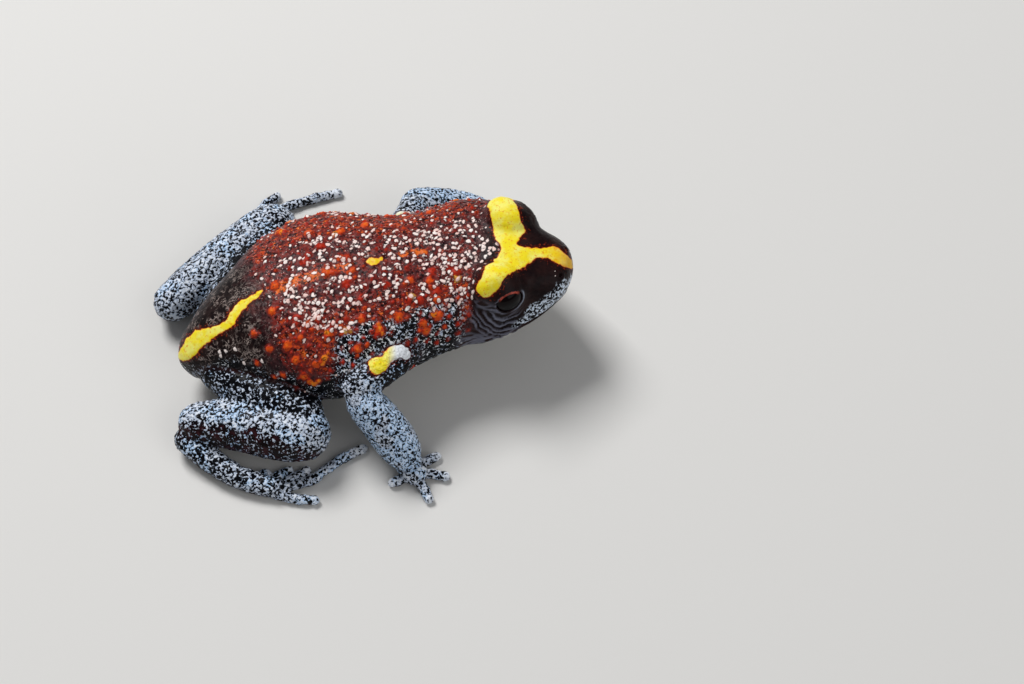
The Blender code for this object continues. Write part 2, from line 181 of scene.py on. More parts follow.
def link(name: str, data: bpy.types.ID) -> Piece:
    """Puts a mesh or curve into the scene as an object.

    Args:
        name: The piece's name.
        data: Its mesh or curve.

    Returns:
        The new object.
    """
    made = bpy.data.objects.new(name, data)
    bpy.context.scene.collection.objects.link(made)
    return made


def bake(name: str, mesh: bmesh.types.BMesh) -> Piece:
    """Turns edited geometry into an object.

    Args:
        name: The new object's name.
        mesh: The geometry, which is let go of.

    Returns:
        The new object.
    """
    data = bpy.data.meshes.new(name)
    mesh.to_mesh(data)
    mesh.free()
    return link(name, data)


def skin_rings(name: str, rings: Sequence[Sequence[Vector]], tips: Sequence[Vector]) -> Piece:
    """A closed form over rings of points.

    Args:
        name: The new object's name.
        rings: Rings with the same number of points each.
        tips: The points that close the first and the last ring.

    Returns:
        The new object.
    """
    mesh = bmesh.new()
    loops = [[mesh.verts.new(point) for point in ring] for ring in rings]
    for near, far in zip(loops, loops[1:]):
        for i in range(len(near)):
            j = (i + 1) % len(near)
            mesh.faces.new((near[i], near[j], far[j], far[i]))
    for loop, point in zip((loops[0], loops[-1]), tips):
        pole = mesh.verts.new(point)
        for i in range(len(loop)):
            mesh.faces.new((loop[i], loop[(i + 1) % len(loop)], pole))
    bmesh.ops.recalc_face_normals(mesh, faces=mesh.faces)
    return bake(name, mesh)


def evaluated(made: Piece) -> Mesh:
    """The mesh of an object with its modifiers in it."""
    graph = bpy.context.evaluated_depsgraph_get()
    return bpy.data.meshes.new_from_object(made.evaluated_get(graph))


def settle(made: Piece) -> Piece:
    """Replaces an object's mesh by its evaluated one and clears its modifiers.

    Args:
        made: The object.

    Returns:
        The same object, with its modifiers applied.
    """
    data = evaluated(made)
    made.modifiers.clear()
    old = made.data
    made.data = data
    bpy.data.meshes.remove(old)
    return made


def join(name: str, pieces: Sequence[Piece]) -> Piece:
    """One object that holds the pieces, which are then removed.

    Args:
        name: The joined object's name.
        pieces: What is joined.

    Returns:
        The joined object.
    """
    mesh = bmesh.new()
    for piece in pieces:
        mesh.from_mesh(piece.data)
        bpy.data.objects.remove(piece, do_unlink=True)
    return bake(name, mesh)


def melt(name: str, pieces: Sequence[Piece], voxel: float, smoothing: int) -> Piece:
    """Melts closed pieces into one even skin.

    Args:
        name: The new object's name.
        pieces: Closed meshes that run into one another.
        voxel: The size of the new faces, in millimetres.
        smoothing: How many times the new surface is relaxed.

    Returns:
        The new object.
    """
    made = join(name, pieces)
    remesh = made.modifiers.new("melt", "REMESH")
    remesh.mode = "VOXEL"
    remesh.voxel_size = voxel * METRES
    smooth = made.modifiers.new("soften", "SMOOTH")
    smooth.factor = 0.5
    smooth.iterations = smoothing
    return settle(made)


def cut(made: Piece, tool: Piece) -> Piece:
    """Cuts a tool's shape out of an object and removes the tool.

    Args:
        made: What is cut.
        tool: The shape that is taken away, which is then deleted.

    Returns:
        The object that was cut.
    """
    change = made.modifiers.new("cut", "BOOLEAN")
    change.operation = "DIFFERENCE"
    change.solver = "MANIFOLD"
    change.object = tool
    settle(made)
    bpy.data.objects.remove(tool, do_unlink=True)
    return made


@dataclass(frozen=True)
class PhotoView:
    """Where the photo was taken from, in millimetres on the animal's layout.

    It gives the scene's camera, and the picture place of any point of the animal.
    """

    elevation: float = 60.0
    heading: float = 9.645
    distance: float = 140.0
    focal_pixels: float = 1964.93
    width: int = 1024
    height: int = 684
    middle: Pair = (9.373, -0.327)
    sensor: float = 36.0
    clip: Pair = (0.001, 10.0)

    def axes(self) -> tuple[Values, Values, Values]:
        """The camera's directions: right, up in the picture, and forward.

        Returns:
            The three directions, forward being away from the camera.
        """
        slope = math.radians(self.elevation)
        turn = math.radians(self.heading)
        ahead = np.array((math.sin(turn), math.cos(turn), 0.0))
        right = np.array((math.cos(turn), -math.sin(turn), 0.0))
        forward = ahead * math.cos(slope) - np.array((0.0, 0.0, math.sin(slope)))
        return right, np.cross(right, forward), forward

    def place(self) -> Values:
        """The camera's own place."""
        return np.array((*self.middle, 0.0)) - self.axes()[2] * self.distance

    def pixels(self, points: Values) -> Values:
        """The picture places of many points, one row of two pixels each.

        Args:
            points: Places on the animal.

        Returns:
            The pixel at which each one shows.
        """
        right, up, forward = self.axes()
        offsets = points - self.place()
        depth = offsets @ forward
        across = self.width / 2 + self.focal_pixels * (offsets @ right) / depth
        down = self.height / 2 - self.focal_pixels * (offsets @ up) / depth
        return np.stack((across, down), axis=1)

    def pixels_per_mm(self) -> float:
        """How many pixels a millimetre takes at the middle of the picture."""
        return self.focal_pixels / self.distance

    def build(self) -> Piece:
        """Makes the scene's camera.

        Returns:
            The camera.
        """
        data = bpy.data.cameras.new("photo_camera")
        data.sensor_fit = "HORIZONTAL"
        data.sensor_width = self.sensor
        data.lens = self.focal_pixels / self.width * self.sensor
        data.clip_start, data.clip_end = self.clip
        made = link("photo_camera", data)
        right, up, forward = self.axes()
        turn = Matrix((right, up, -forward)).transposed()
        made.matrix_world = Matrix.Translation(to_world(*self.place())) @ turn.to_4x4()
        bpy.context.scene.camera = made
        return made


@dataclass(frozen=True)
class Trunk:
    """Torso and head in one loft: x, y, half width, back, widest and belly heights from the vent on.

    The head's stations give the distance behind the snout tip in place of x and y.
    """

    torso: tuple[Row, ...] = (
        (-13.85, 0.2, 0.8, 3.9, 3.1, 2.3),
        (-13.1, 0.4, 1.5, 4.8, 3.1, 1.7),
        (-12.2, 0.6, 2.15, 5.7, 3.3, 1.3),
        (-10.9, 0.9, 3.1, 6.7, 3.6, 0.95),
        (-9.0, 1.25, 4.35, 7.6, 3.9, 0.7),
        (-6.8, 1.65, 5.8, 8.3, 4.3, 0.6),
        (-4.2, 1.95, 6.8, 8.75, 4.6, 0.65),
        (-1.8, 2.05, 6.85, 8.95, 4.7, 0.95),
        (0.4, 2.1, 6.15, 9.0, 4.8, 1.4),
        (2.7, 2.25, 5.45, 8.95, 4.9, 2.0),
        (5.0, 2.55, 5.3, 8.9, 5.1, 2.65),
    )
    head: tuple[Row, ...] = (
        (7.1, 5.45, 9.0, 5.1, 2.85),
        (5.6, 5.3, 9.1, 5.25, 3.2),
        (4.2, 4.75, 9.1, 5.5, 3.65),
        (3.0, 3.9, 8.95, 5.75, 4.1),
        (1.9, 3.0, 8.75, 6.15, 4.65),
        (1.0, 2.2, 8.5, 6.6, 5.2),
        (0.0, 1.35, 8.0, 6.9, 5.8),
    )
    snout_tip: Pair = (13.75, 0.42)
    yaw: float = math.radians(-19.0)
    section_power: float = 2.25
    end_rounding: float = 0.7
    heading_reach: float = 2.4
    sides: int = 96
    rings_apart: float = 0.3
    plan_steps: int = 160

    def head_place(self, behind: float, aside: float, height: float) -> Place:
        """A place behind the snout tip and to the left of the head's own line.

        Args:
            behind: Millimetres behind the snout's tip.
            aside: Millimetres left of the head's line.
            height: Height over the floor.

        Returns:
            The place on the animal.
        """
        ahead = (math.cos(self.yaw), math.sin(self.yaw))
        x = self.snout_tip[0] - ahead[0] * behind - ahead[1] * aside
        y = self.snout_tip[1] - ahead[1] * behind + ahead[0] * aside
        return x, y, height

    def head_axes(self, points: Values) -> tuple[Values, Values]:
        """How far behind the snout tip, and how far to the left of the head's line, points lie.

        Args:
            points: Places on the animal.

        Returns:
            Both distances for each point.
        """
        ahead = np.array((math.cos(self.yaw), math.sin(self.yaw)))
        left = np.array((-ahead[1], ahead[0]))
        offsets = points[:, :2] - np.array(self.snout_tip)
        return -(offsets @ ahead), offsets @ left

    def rows(self) -> list[Row]:
        """Every station of torso and head in the torso's own terms.

        Returns:
            The stations, closer together.
        """
        placed = []
        for behind, half_width, crown, widest, throat in self.head:
            x, y, _ = self.head_place(behind, 0.0, 0.0)
            placed.append((x, y, half_width, crown, widest, throat))
        return list(self.torso) + placed

    def ring(self, row: Row, along: Vector, shrink: float) -> list[Vector]:
        """One cross section of the loft.

        Args:
            row: The station.
            along: The direction of the body there, in plan.
            shrink: The share of its full size, for the round ends.

        Returns:
            The points of the ring, in metres.
        """
        x, y, half_width, back, widest, belly = row
        left = Vector((-along.y, along.x))
        power = 2.0 / self.section_power
        points = []
        for i in range(self.sides):
            angle = math.tau * i / self.sides
            aside = half_width * shrink * math.copysign(abs(math.cos(angle)) ** power, math.cos(angle))
            rise = shrink * math.copysign(abs(math.sin(angle)) ** power, math.sin(angle))
            height = widest + rise * ((back - widest) if rise > 0 else (widest - belly))
            points.append(to_world(x + left.x * aside, y + left.y * aside, height))
        return points

    def build(self) -> Piece:
        """Makes the loft.

        Returns:
            The bare loft.
        """
        rows = self.rows()
        length = length_of(rows)
        rings = []
        for place, shrink in ring_places(length, self.end_rounding, self.end_rounding, self.rings_apart):
            reach = (place, place + self.heading_reach, place - self.heading_reach)
            row, ahead, behind = smooth_rows(rows, reach)
            along = Vector((ahead[0] - behind[0], ahead[1] - behind[1])).normalized()
            rings.append(self.ring(row, along, shrink))
        tips = [to_world(end[0], end[1], end[4]) for end in smooth_rows(rows, (0.0, length))]
        return skin_rings("trunk", rings, tips)

    def plan_share(self, points: Values) -> tuple[Values, Values]:
        """Where points lie in the plan of the body.

        Args:
            points: Places on the animal.

        Returns:
            The distance from the vent along the midline, and the distance to the left of the midline as
            a share of the half width there.
        """
        rows = self.rows()
        length = length_of(rows)
        places = np.linspace(0.0, length, self.plan_steps)
        line = np.array(smooth_rows(rows, places))
        tangents = np.gradient(line[:, :2], axis=0)
        tangents /= np.linalg.norm(tangents, axis=1)[:, None]
        tree = kdtree.KDTree(len(line))
        for index, row in enumerate(line):
            tree.insert((row[0], row[1], 0.0), index)
        tree.balance()
        nearest = np.array([tree.find((x, y, 0.0))[1] for x, y in points[:, :2]])
        offsets = points[:, :2] - line[nearest, :2]
        left = np.stack((-tangents[nearest, 1], tangents[nearest, 0]), axis=1)
        aside = np.einsum("ij,ij->i", offsets, left)
        return places[nearest], aside / line[nearest, 2]


@dataclass(frozen=True)
class Limb:
    """A tapering limb along a smooth path: stations of x, y, z and radius."""

    name: str
    stations: tuple[Row, ...]
    sides: int = 36
    rings_apart: float = 0.3

    def build(self) -> Piece:
        """Makes the limb with rounded ends.

        Returns:
            The limb's own closed form.
        """
        length = length_of(self.stations)
        first = self.stations[0][3]
        last = self.stations[-1][3]
        rings = []
        for place, shrink in ring_places(length, first, last, self.rings_apart):
            row, ahead, behind = smooth_rows(self.stations, (place, place + 0.1, place - 0.1))
            along = (Vector(ahead[:3]) - Vector(behind[:3])).normalized()
            side = along.cross(Vector((0, 0, 1))).normalized()
            up = side.cross(along).normalized()
            ring = []
            for i in range(self.sides):
                angle = math.tau * i / self.sides
                out = side * math.cos(angle) + up * math.sin(angle)
                ring.append(to_world(*(Vector(row[:3]) + out * row[3] * shrink)))
            rings.append(ring)
        tips = [to_world(*self.stations[index][:3]) for index in (0, -1)]
        return skin_rings(self.name, rings, tips)

    def line(self, count: int = 24) -> Values:
        """Points with radii along the middle of the limb, for measuring.

        Args:
            count: How many places.

        Returns:
            The places and their radii, one row each.
        """
        length = length_of(self.stations)
        inset = np.linspace(self.stations[0][3] * 0.5, length - self.stations[-1][3] * 0.6, count)
        return np.array(smooth_rows(self.stations, inset))

    def distance(self, points: Values) -> tuple[Values, Values]:
        """How far points lie from the limb.

        Args:
            points: Places on the animal.

        Returns:
            The distance from the limb's skin, and how far along the limb the point is, from 0 to 1.
        """
        line = self.line()
        best = np.full(len(points), 99.0)
        share = np.zeros(len(points))
        last = len(line) - 1
        for index in range(last):
            start = line[index, :3]
            run = line[index + 1, :3] - start
            t = np.clip(((points - start) @ run) / (run @ run), 0.0, 1.0)
            radius = line[index, 3] * (1 - t) + line[index + 1, 3] * t
            gap = np.linalg.norm(points - start - t[:, None] * run, axis=1) - radius
            closer = gap < best
            best[closer] = gap[closer]
            share[closer] = (index + t[closer]) / last
        return best, share


@dataclass(frozen=True)
class Digit:
    """A finger or toe laid along the floor, given by its path in plan."""

    path: Outline
    radius: float = 0.37
    waist: float = 0.33
    tip_radius: float = 0.36
    height: float = 0.27
    root_lift: float = 0.1

    def limb(self, name: str) -> Limb:
        """The digit as a limb with a waist between its knuckles and a rounded tip.

        Args:
            name: The digit's name.

        Returns:
            The digit as a thin limb.
        """
        last = len(self.path) - 1
        stations = []
        for index, (x, y) in enumerate(self.path):
            height = self.height + self.root_lift * (1 - index / last)
            stations.append((x, y, height, self.tip_radius if index == last else self.radius))
            if index < last:
                next_x, next_y = self.path[index + 1]
                middle = ((x + next_x) / 2, (y + next_y) / 2, height - self.root_lift / last / 2)
                stations.append((*middle, self.waist))
        return Limb(name, tuple(stations), sides=18, rings_apart=0.16)


@dataclass(frozen=True)
class Limbs:
    """The stations of every limb on one side, and the paths of its digits."""

    side: Side
    upper_arm: tuple[Row, ...]
    forearm: tuple[Row, ...]
    thigh: tuple[Row, ...]
    shank: tuple[Row, ...]
    sole: tuple[Row, ...]
    palm: tuple[Row, ...]
    toes: tuple[Outline, ...]
    fingers: tuple[Outline, ...]

    def word(self) -> str:
        """The side as a word for names."""
        return self.side.name.lower()

    def large(self) -> dict[str, Limb]:
        """The limbs that grow out of the trunk, by name."""
        names = ("upper_arm", "forearm", "thigh", "shank")
        return {name: Limb(f"{name}_{self.word()}", getattr(self, name)) for name in names}

    def small(self) -> dict[str, Limb]:
        """Palm, sole, fingers and toes, by name.

        Returns:
            The small forms by name.
        """
        made = {}
        for name in ("palm", "sole"):
            made[name] = Limb(f"{name}_{self.word()}", getattr(self, name), sides=24, rings_apart=0.2)
        for kind in ("fingers", "toes"):
            for number, path in enumerate(getattr(self, kind), 1):
                made[f"{kind}_{number}"] = Digit(path).limb(f"{kind}_{self.word()}_{number}")
        return made

    def nodes(self) -> list[str]:
        """The solids of this side that the skin stands for."""
        names = ("upper_arm", "forearm", "hand", "thigh", "shank", "foot")
        return [f"{name}_{self.word()}" for name in names]


RIGHT_LIMBS = Limbs(
    side=Side.RIGHT,
    upper_arm=((2.1, -1.2, 5.2, 1.6), (1.0, -3.1, 5.7, 1.4), (-0.7, -4.5, 5.8, 1.2), (-3.0, -5.6, 5.5, 1.1)),
    forearm=((-2.4, -5.3, 5.9, 1.1), (-1.1, -6.6, 4.1, 1.4), (0.0, -7.9, 2.5, 1.45), (1.0, -9.4, 0.75, 1.2)),
    thigh=((-12.0, 0.6, 3.0, 1.6), (-9.9, -2.0, 3.1, 1.75), (-7.4, -4.2, 3.1, 1.75), (-4.7, -6.0, 2.9, 1.5)),
    shank=((-4.2, -6.9, 2.7, 1.6), (-7.0, -6.2, 2.5, 2.0), (-10.4, -4.9, 2.3, 1.8), (-14.4, -3.8, 1.8, 1.25)),
    sole=((-14.5, -4.2, 1.4, 1.0), (-12.9, -6.2, 1.0, 0.9), (-10.8, -8.1, 0.7, 0.8), (-7.9, -9.5, 0.5, 0.7)),
    palm=((0.4, -8.2, 1.1, 0.85), (0.9, -9.4, 0.75, 0.95), (1.4, -10.5, 0.4, 0.75)),
    toes=(
        ((-9.9, -8.5), (-9.2, -8.0), (-8.6, -7.9)),
        ((-9.2, -8.9), (-8.1, -8.2), (-7.1, -7.9)),
        ((-8.6, -9.1), (-7.2, -8.6), (-5.9, -8.05)),
        ((-8.4, -9.4), (-6.0, -8.95), (-3.9, -7.75), (-1.9, -7.0)),
        ((-8.7, -9.6), (-7.1, -10.2), (-5.6, -10.55)),
    ),
    fingers=(
        ((0.9, -9.3), (2.1, -8.8), (3.0, -8.5)),
        ((1.0, -9.6), (2.3, -9.9), (3.4, -10.3)),
        ((1.0, -9.8), (1.5, -10.9), (1.8, -12.0)),
        ((0.8, -9.6), (-0.1, -10.0), (-0.9, -10.1)),
    ),
)
LEFT_LIMBS = Limbs(
    side=Side.LEFT,
    upper_arm=((2.4, 5.0, 5.0, 1.6), (2.9, 7.0, 4.8, 1.35), (3.6, 8.6, 4.3, 1.2), (4.3, 10.3, 3.8, 1.1)),
    forearm=((3.0, 9.9, 4.0, 1.1), (5.1, 10.1, 3.1, 1.35), (7.3, 10.25, 2.0, 1.3), (9.6, 10.1, 0.9, 1.0)),
    thigh=((-12.0, 1.5, 3.0, 1.6), (-9.9, 4.4, 3.1, 1.75), (-7.4, 7.4, 3.1, 1.75), (-5.0, 9.9, 2.9, 1.5)),
    shank=((-4.7, 11.2, 2.7, 1.6), (-7.2, 9.9, 2.5, 1.95), (-10.4, 7.9, 2.2, 1.8), (-15.2, 5.2, 1.7, 1.25)),
    sole=((-15.0, 5.9, 1.3, 1.0), (-12.8, 8.4, 1.0, 0.9), (-9.9, 11.0, 0.7, 0.8), (-6.9, 13.1, 0.5, 0.7)),
    palm=((8.6, 10.6, 1.1, 0.8), (9.8, 10.0, 0.7, 0.9), (10.9, 9.4, 0.4, 0.75)),
    toes=(
        ((-8.6, 11.6), (-8.0, 11.6), (-7.3, 11.7)),
        ((-7.9, 12.1), (-6.9, 12.1), (-6.0, 12.2)),
        ((-7.3, 12.6), (-6.0, 12.8), (-4.7, 12.75)),
        ((-7.2, 12.9), (-5.0, 13.7), (-2.9, 14.1), (-0.9, 14.3)),
        ((-7.6, 13.1), (-6.6, 14.2), (-5.5, 14.9)),
    ),
    fingers=(
        ((10.0, 9.6), (10.4, 8.6), (10.6, 7.8)),
        ((10.2, 9.7), (11.2, 9.1), (12.0, 8.5)),
        ((10.3, 9.8), (11.4, 9.9), (12.4, 9.8)),
        ((10.0, 10.0), (10.5, 10.7), (10.9, 11.3)),
    ),
)


def ball(name: str, place: Row, size: Row, turn: float) -> Piece:
    """An ellipsoid on the animal.

    Args:
        name: The new object's name.
        place: Its middle.
        size: Its three half axes, the first along the direction of turn.
        turn: The direction of the first axis in plan, in radians.

    Returns:
        The new object.
    """
    mesh = bmesh.new()
    bmesh.ops.create_uvsphere(mesh, u_segments=64, v_segments=32, radius=METRES)
    made = bake(name, mesh)
    shape = Matrix.Rotation(turn, 4, "Z") @ Matrix.Diagonal((*size, 1.0))
    made.data.transform(Matrix.Translation(to_world(*place)) @ shape)
    return made


@dataclass(frozen=True)
class HeadForms:
    """Lids, eyes, lips and nostrils, placed behind the snout tip, to the side, and by height."""

    trunk: Trunk
    eye: Place = (4.55, 2.6, 7.85)
    eye_radius: float = 1.44
    eye_out: float = 0.12
    eye_turn: float = math.radians(35.0)
    lid_hold: float = 0.05
    opening_out: float = 1.5
    opening_height: float = 8.2
    opening_size: Place = (1.0, 1.3, 0.82)
    lid: Place = (4.9, 2.7, 8.0)
    lid_size: Place = (2.0, 1.83, 1.9)
    mouth_front: float = 5.85
    mouth_drop: float = 0.13
    mouth_corner: float = 6.0
    lip_size: float = 0.42
    lip_inset: float = 0.27
    lip_steps: int = 60
    nostril: Place = (0.75, 1.0, 8.05)

    def eye_place(self, side: Side) -> Place:
        """The middle of an eye, a little outside the middle of its solid.

        Args:
            side: Left or right.

        Returns:
            The middle of that side's eye.
        """
        behind = self.eye[0] - self.eye_out * math.sin(self.eye_turn)
        aside = self.eye[1] + self.eye_out * math.cos(self.eye_turn)
        return self.trunk.head_place(behind, side.value * aside, self.eye[2])

    def look(self, side: Side) -> Vector:
        """The level direction an eye looks in."""
        angle = self.trunk.yaw + side.value * (math.pi / 2 - self.eye_turn)
        return Vector((math.cos(angle), math.sin(angle), 0.0))

    def lids(self) -> list[Piece]:
        """The two swellings that carry the eyes.

        Returns:
            Both lids.
        """
        made = []
        for side in Side:
            place = self.trunk.head_place(self.lid[0], side.value * self.lid[1], self.lid[2])
            made.append(ball(f"lid_{side.name}", place, self.lid_size, self.trunk.yaw))
        return made

    def sockets(self) -> Piece:
        """The hollows that hold the eyes.

        Returns:
            Both hollows as one shape.
        """
        size = (self.eye_radius - self.lid_hold,) * 3
        balls = [ball(f"socket_{side.name}", self.eye_place(side), size, 0.0) for side in Side]
        return join("sockets", balls)

    def openings(self) -> Piece:
        """The spaces between the lids.

        Returns:
            Both openings as one shape.
        """
        made = []
        for side in Side:
            behind = self.eye[0] - self.opening_out * math.sin(self.eye_turn)
            aside = self.eye[1] + self.opening_out * math.cos(self.eye_turn)
            place = self.trunk.head_place(behind, side.value * aside, self.opening_height)
            turn = self.trunk.yaw - side.value * self.eye_turn
            made.append(ball(f"opening_{side.name}", place, self.opening_size, turn))
        return join("openings", made)

    def mouth_line(self, inset: float, steps: int) -> list[Place]:
        """Points of the mouth line from the right corner round the snout to the left one.

        Args:
            inset: How far inside the head's loft the line lies.
            steps: How many points each side has.

        Returns:
            Places on the animal.
        """
        rows = self.trunk.rows()
        total = length_of(rows)
        power = self.trunk.section_power
        half = []
        for step in range(steps + 1):
            behind = self.mouth_corner * (step / steps) ** 1.6
            height = self.mouth_height(behind)
            row = smooth_rows(rows, (total - behind,))[0]
            short = max(0.0, 1.0 - behind / self.trunk.end_rounding)
            shrink = math.sqrt(1.0 - short * short)
            reach_down = (row[4] - row[5]) * shrink - inset
            if row[4] - height >= reach_down:
                continue
            depth = (row[4] - height) / reach_down
            half_width = (row[2] * shrink - inset) * (1 - depth ** power) ** (1 / power)
            half.append((behind, half_width, height))
        right = [self.trunk.head_place(b, -w, h) for b, w, h in reversed(half)]
        left = [self.trunk.head_place(b, w, h) for b, w, h in half]
        return right + left

    def mouth_height(self, behind: float | Values) -> float | Values:
        """The height of the mouth line so far behind the snout tip."""
        return self.mouth_front - self.mouth_drop * behind

    def lip(self) -> Piece:
        """The bead of both lips, thinner towards the corners of the mouth.

        Returns:
            The lip.
        """
        places = self.mouth_line(self.lip_inset, self.lip_steps)
        curve = bpy.data.curves.new("lip", "CURVE")
        curve.dimensions = "3D"
        curve.bevel_depth = self.lip_size * METRES
        curve.bevel_resolution = 6
        curve.use_fill_caps = True
        spline = curve.splines.new("POLY")
        spline.points.add(len(places) - 1)
        for index, (point, place) in enumerate(zip(spline.points, places)):
            point.co = (*to_world(*place), 1.0)
            from_end = min(index, len(places) - 1 - index) / len(places)
            point.radius = min(1.0, 0.3 + 6.0 * from_end)
        holder = link("lip", curve)
        data = evaluated(holder)
        bpy.data.objects.remove(holder, do_unlink=True)
        mesh = bmesh.new()
        mesh.from_mesh(data)
        bmesh.ops.remove_doubles(mesh, verts=mesh.verts, dist=1e-7)
        bmesh.ops.recalc_face_normals(mesh, faces=mesh.faces)
        mesh.to_mesh(data)
        mesh.free()
        return link("lip", data)


def noise_at(points: Values, scale: float, octaves: int = 1, offset: float = 0.0) -> Values:
    """Smooth noise between about -1 and 1 at every point.

    Args:
        points: Places on the animal.
        scale: Waves to the millimetre, roughly.
        octaves: How many finer layers are added.
        offset: A shift that gives another pattern.

    Returns:
        One value for each point.
    """
    moved = points * scale + offset
    if octaves == 1:
        return np.array([noise.noise(Vector(p)) for p in moved])
    return np.array([noise.fractal(Vector(p), 1.0, 2.0, octaves) for p in moved])


def inside_outline(outline: Outline, places: Values) -> Values:
    """Signed distances from an outline, positive inside it.

    Args:
        outline: The corners of a closed line in the plane.
        places: Points in the same plane.

    Returns:
        One distance for each point.
    """
    corners = np.array(outline, dtype=float)
    nearest = np.full(len(places), 1e9)
    inside = np.zeros(len(places), dtype=bool)
    for start, end in zip(corners, np.roll(corners, -1, axis=0)):
        run = end - start
        offsets = places - start
        t = np.clip((offsets @ run) / (run @ run), 0.0, 1.0)
        nearest = np.minimum(nearest, np.linalg.norm(offsets - t[:, None] * run, axis=1))
        crosses = (start[1] > places[:, 1]) != (end[1] > places[:, 1])
        rise = end[1] - start[1] if end[1] != start[1] else 1e-9
        left_of = places[:, 0] < start[0] + run[0] * (places[:, 1] - start[1]) / rise
        inside ^= crosses & left_of
    return np.where(inside, nearest, -nearest)


def rounded(outline: Outline, rounds: int = 2) -> Outline:
    """An outline with its corners cut off again and again, which rounds it.

    Args:
        outline: The corners of a closed line.
        rounds: How often its corners are cut.

    Returns:
        The rounder outline.
    """
    points = [np.array(point, dtype=float) for point in outline]
    for _ in range(rounds):
        corners = []
        for here, after in zip(points, points[1:] + points[:1]):
            corners.append(here * 0.75 + after * 0.25)
            corners.append(here * 0.25 + after * 0.75)
        points = corners
    return [tuple(point) for point in points]


CROWN_MARK = (
    (487, 201), (490, 196), (497, 193), (505, 194), (512, 199), (516, 205), (519, 214), (521, 223),
    (526, 230), (521, 236), (515, 242), (518, 246), (526, 249), (535, 249), (545, 248), (554, 247),
    (562, 251), (568, 257), (573, 263), (574, 269), (568, 267), (560, 264), (553, 260), (546, 257),
    (538, 256), (531, 260), (524, 266), (518, 270), (508, 273), (503, 278), (500, 285), (495, 292),
    (488, 297), (481, 296), (477, 290), (478, 284), (483, 276), (485, 267), (493, 263), (499, 256),
    (502, 249), (499, 244), (495, 236), (493, 226), (491, 214),
)
RUMP_STRIPE = (
    (264, 289), (259, 291), (254, 295), (248, 298), (243, 299), (237, 304), (231, 312), (228, 318),
    (223, 323), (216, 327), (208, 328), (198, 330), (193, 333), (187, 339), (182, 346), (178, 353),
    (178, 358), (183, 361), (190, 359), (196, 355), (200, 349), (206, 343), (212, 338), (218, 334),
    (226, 330), (233, 326), (236, 320), (240, 313), (246, 307), (251, 302), (255, 299), (260, 295),
)
ARM_PATCH = (
    (367, 360), (374, 357), (381, 358), (386, 350), (392, 346), (400, 344), (408, 348), (412, 354),
    (406, 360), (400, 357), (394, 361), (389, 364), (386, 370), (379, 375), (373, 374), (369, 368),
)
BACK_SPOT = (
    (367, 258), (372, 257), (376, 259), (383, 256.5), (382.5, 260), (378, 264), (373, 265.5), (368, 264),
)
BACK_DASH = ((397, 254), (404, 250), (413, 248.5), (428, 250), (427, 254), (412, 256), (401, 257.5))


class WartKind(Enum):
    """What a wart of the back looks like: its colour place from red to pale, and its size in millimetres."""

    RED = (0.0, 0.30)
    ORANGE = (0.4, 0.34)
    AMBER = (0.7, 0.30)
    PALE = (1.0, 0.26)


PHOTO_WARTS = {
    WartKind.RED: (
        (408, 300), (399, 318), (378, 329), (361, 299), (450, 266), (363, 318), (330, 331), (284, 232),
        (437, 291), (308, 255), (305, 262), (322, 246), (346, 283), (385, 285), (420, 300), (296, 318),
        (454, 272), (432, 272),
    ),
    WartKind.ORANGE: (
        (410, 280), (437, 300), (362, 319), (426, 331), (330, 334), (316, 364), (358, 349), (301, 337),
        (308, 324), (283, 375), (304, 376), (269, 349), (254, 333), (257, 363), (275, 286), (308, 233),
        (340, 231), (365, 225), (323, 213), (378, 329), (430, 281), (288, 345), (296, 360), (318, 318),
        (438, 316), (352, 271), (272, 311), (424, 324), (340, 258), (327, 271), (275, 377), (399, 317),
        (388, 215), (430, 212),
    ),
    WartKind.AMBER: (
        (435, 314), (325, 358), (278, 232), (354, 212), (313, 383), (329, 333), (336, 234), (283, 232),
        (379, 329),
    ),
    WartKind.PALE: ((345, 331), (412, 297), (458, 279)),
}
MIDLINE_STREAK = (
    (265, 289), (276, 282), (292, 276), (312, 271), (334, 264), (353, 263), (354, 269), (336, 275),
    (314, 281), (294, 288), (276, 294),
)
LIP_BAND = (
    (524, 317), (528, 310), (537, 303), (546, 295), (556, 286), (565, 279), (571, 277), (575, 283),
    (560, 300), (545, 312), (530, 322),
)
FLANK_NET = (
    (243, 372), (262, 374), (283, 386), (296, 392), (318, 386), (330, 372), (336, 350), (345, 333),
    (358, 321), (372, 317), (390, 322), (408, 317), (420, 308), (436, 303), (446, 311), (452, 303),
    (463, 295), (474, 290), (486, 300), (482, 322), (470, 338), (440, 353), (400, 356), (362, 396),
    (300, 404), (250, 386),
)
# Painted shade in front of the near upper arm, where the pale granules are thinned.
ARM_SHADE = (
    (386, 373), (394, 365), (402, 360), (413, 359), (420, 350), (431, 344), (442, 352), (430, 367),
    (412, 377), (398, 389), (388, 393), (381, 385),
)
# The shaded underside of the near shank and thigh: painted shade, with the skin's own reddish brown.
SHANK_SHADE = (
    (168, 424), (195, 424), (225, 427), (255, 430), (278, 437), (292, 446), (318, 450), (330, 458),
    (300, 470), (255, 470), (210, 462), (176, 446),
)
RUMP_DOTS = ((219.5, 352), (220.5, 356), (226, 351), (235, 349.5), (244, 363), (262, 361), (178, 346))
HEAD_DASHES = ((473, 220.5), (479, 222), (487, 241))
NOSTRIL_DOTS = ((555, 271), (555, 275.5))
LIMB_COVER = {"forearm": 0.72, "thigh": 0.3, "upper_arm": 0.5, "sole": 0.46}
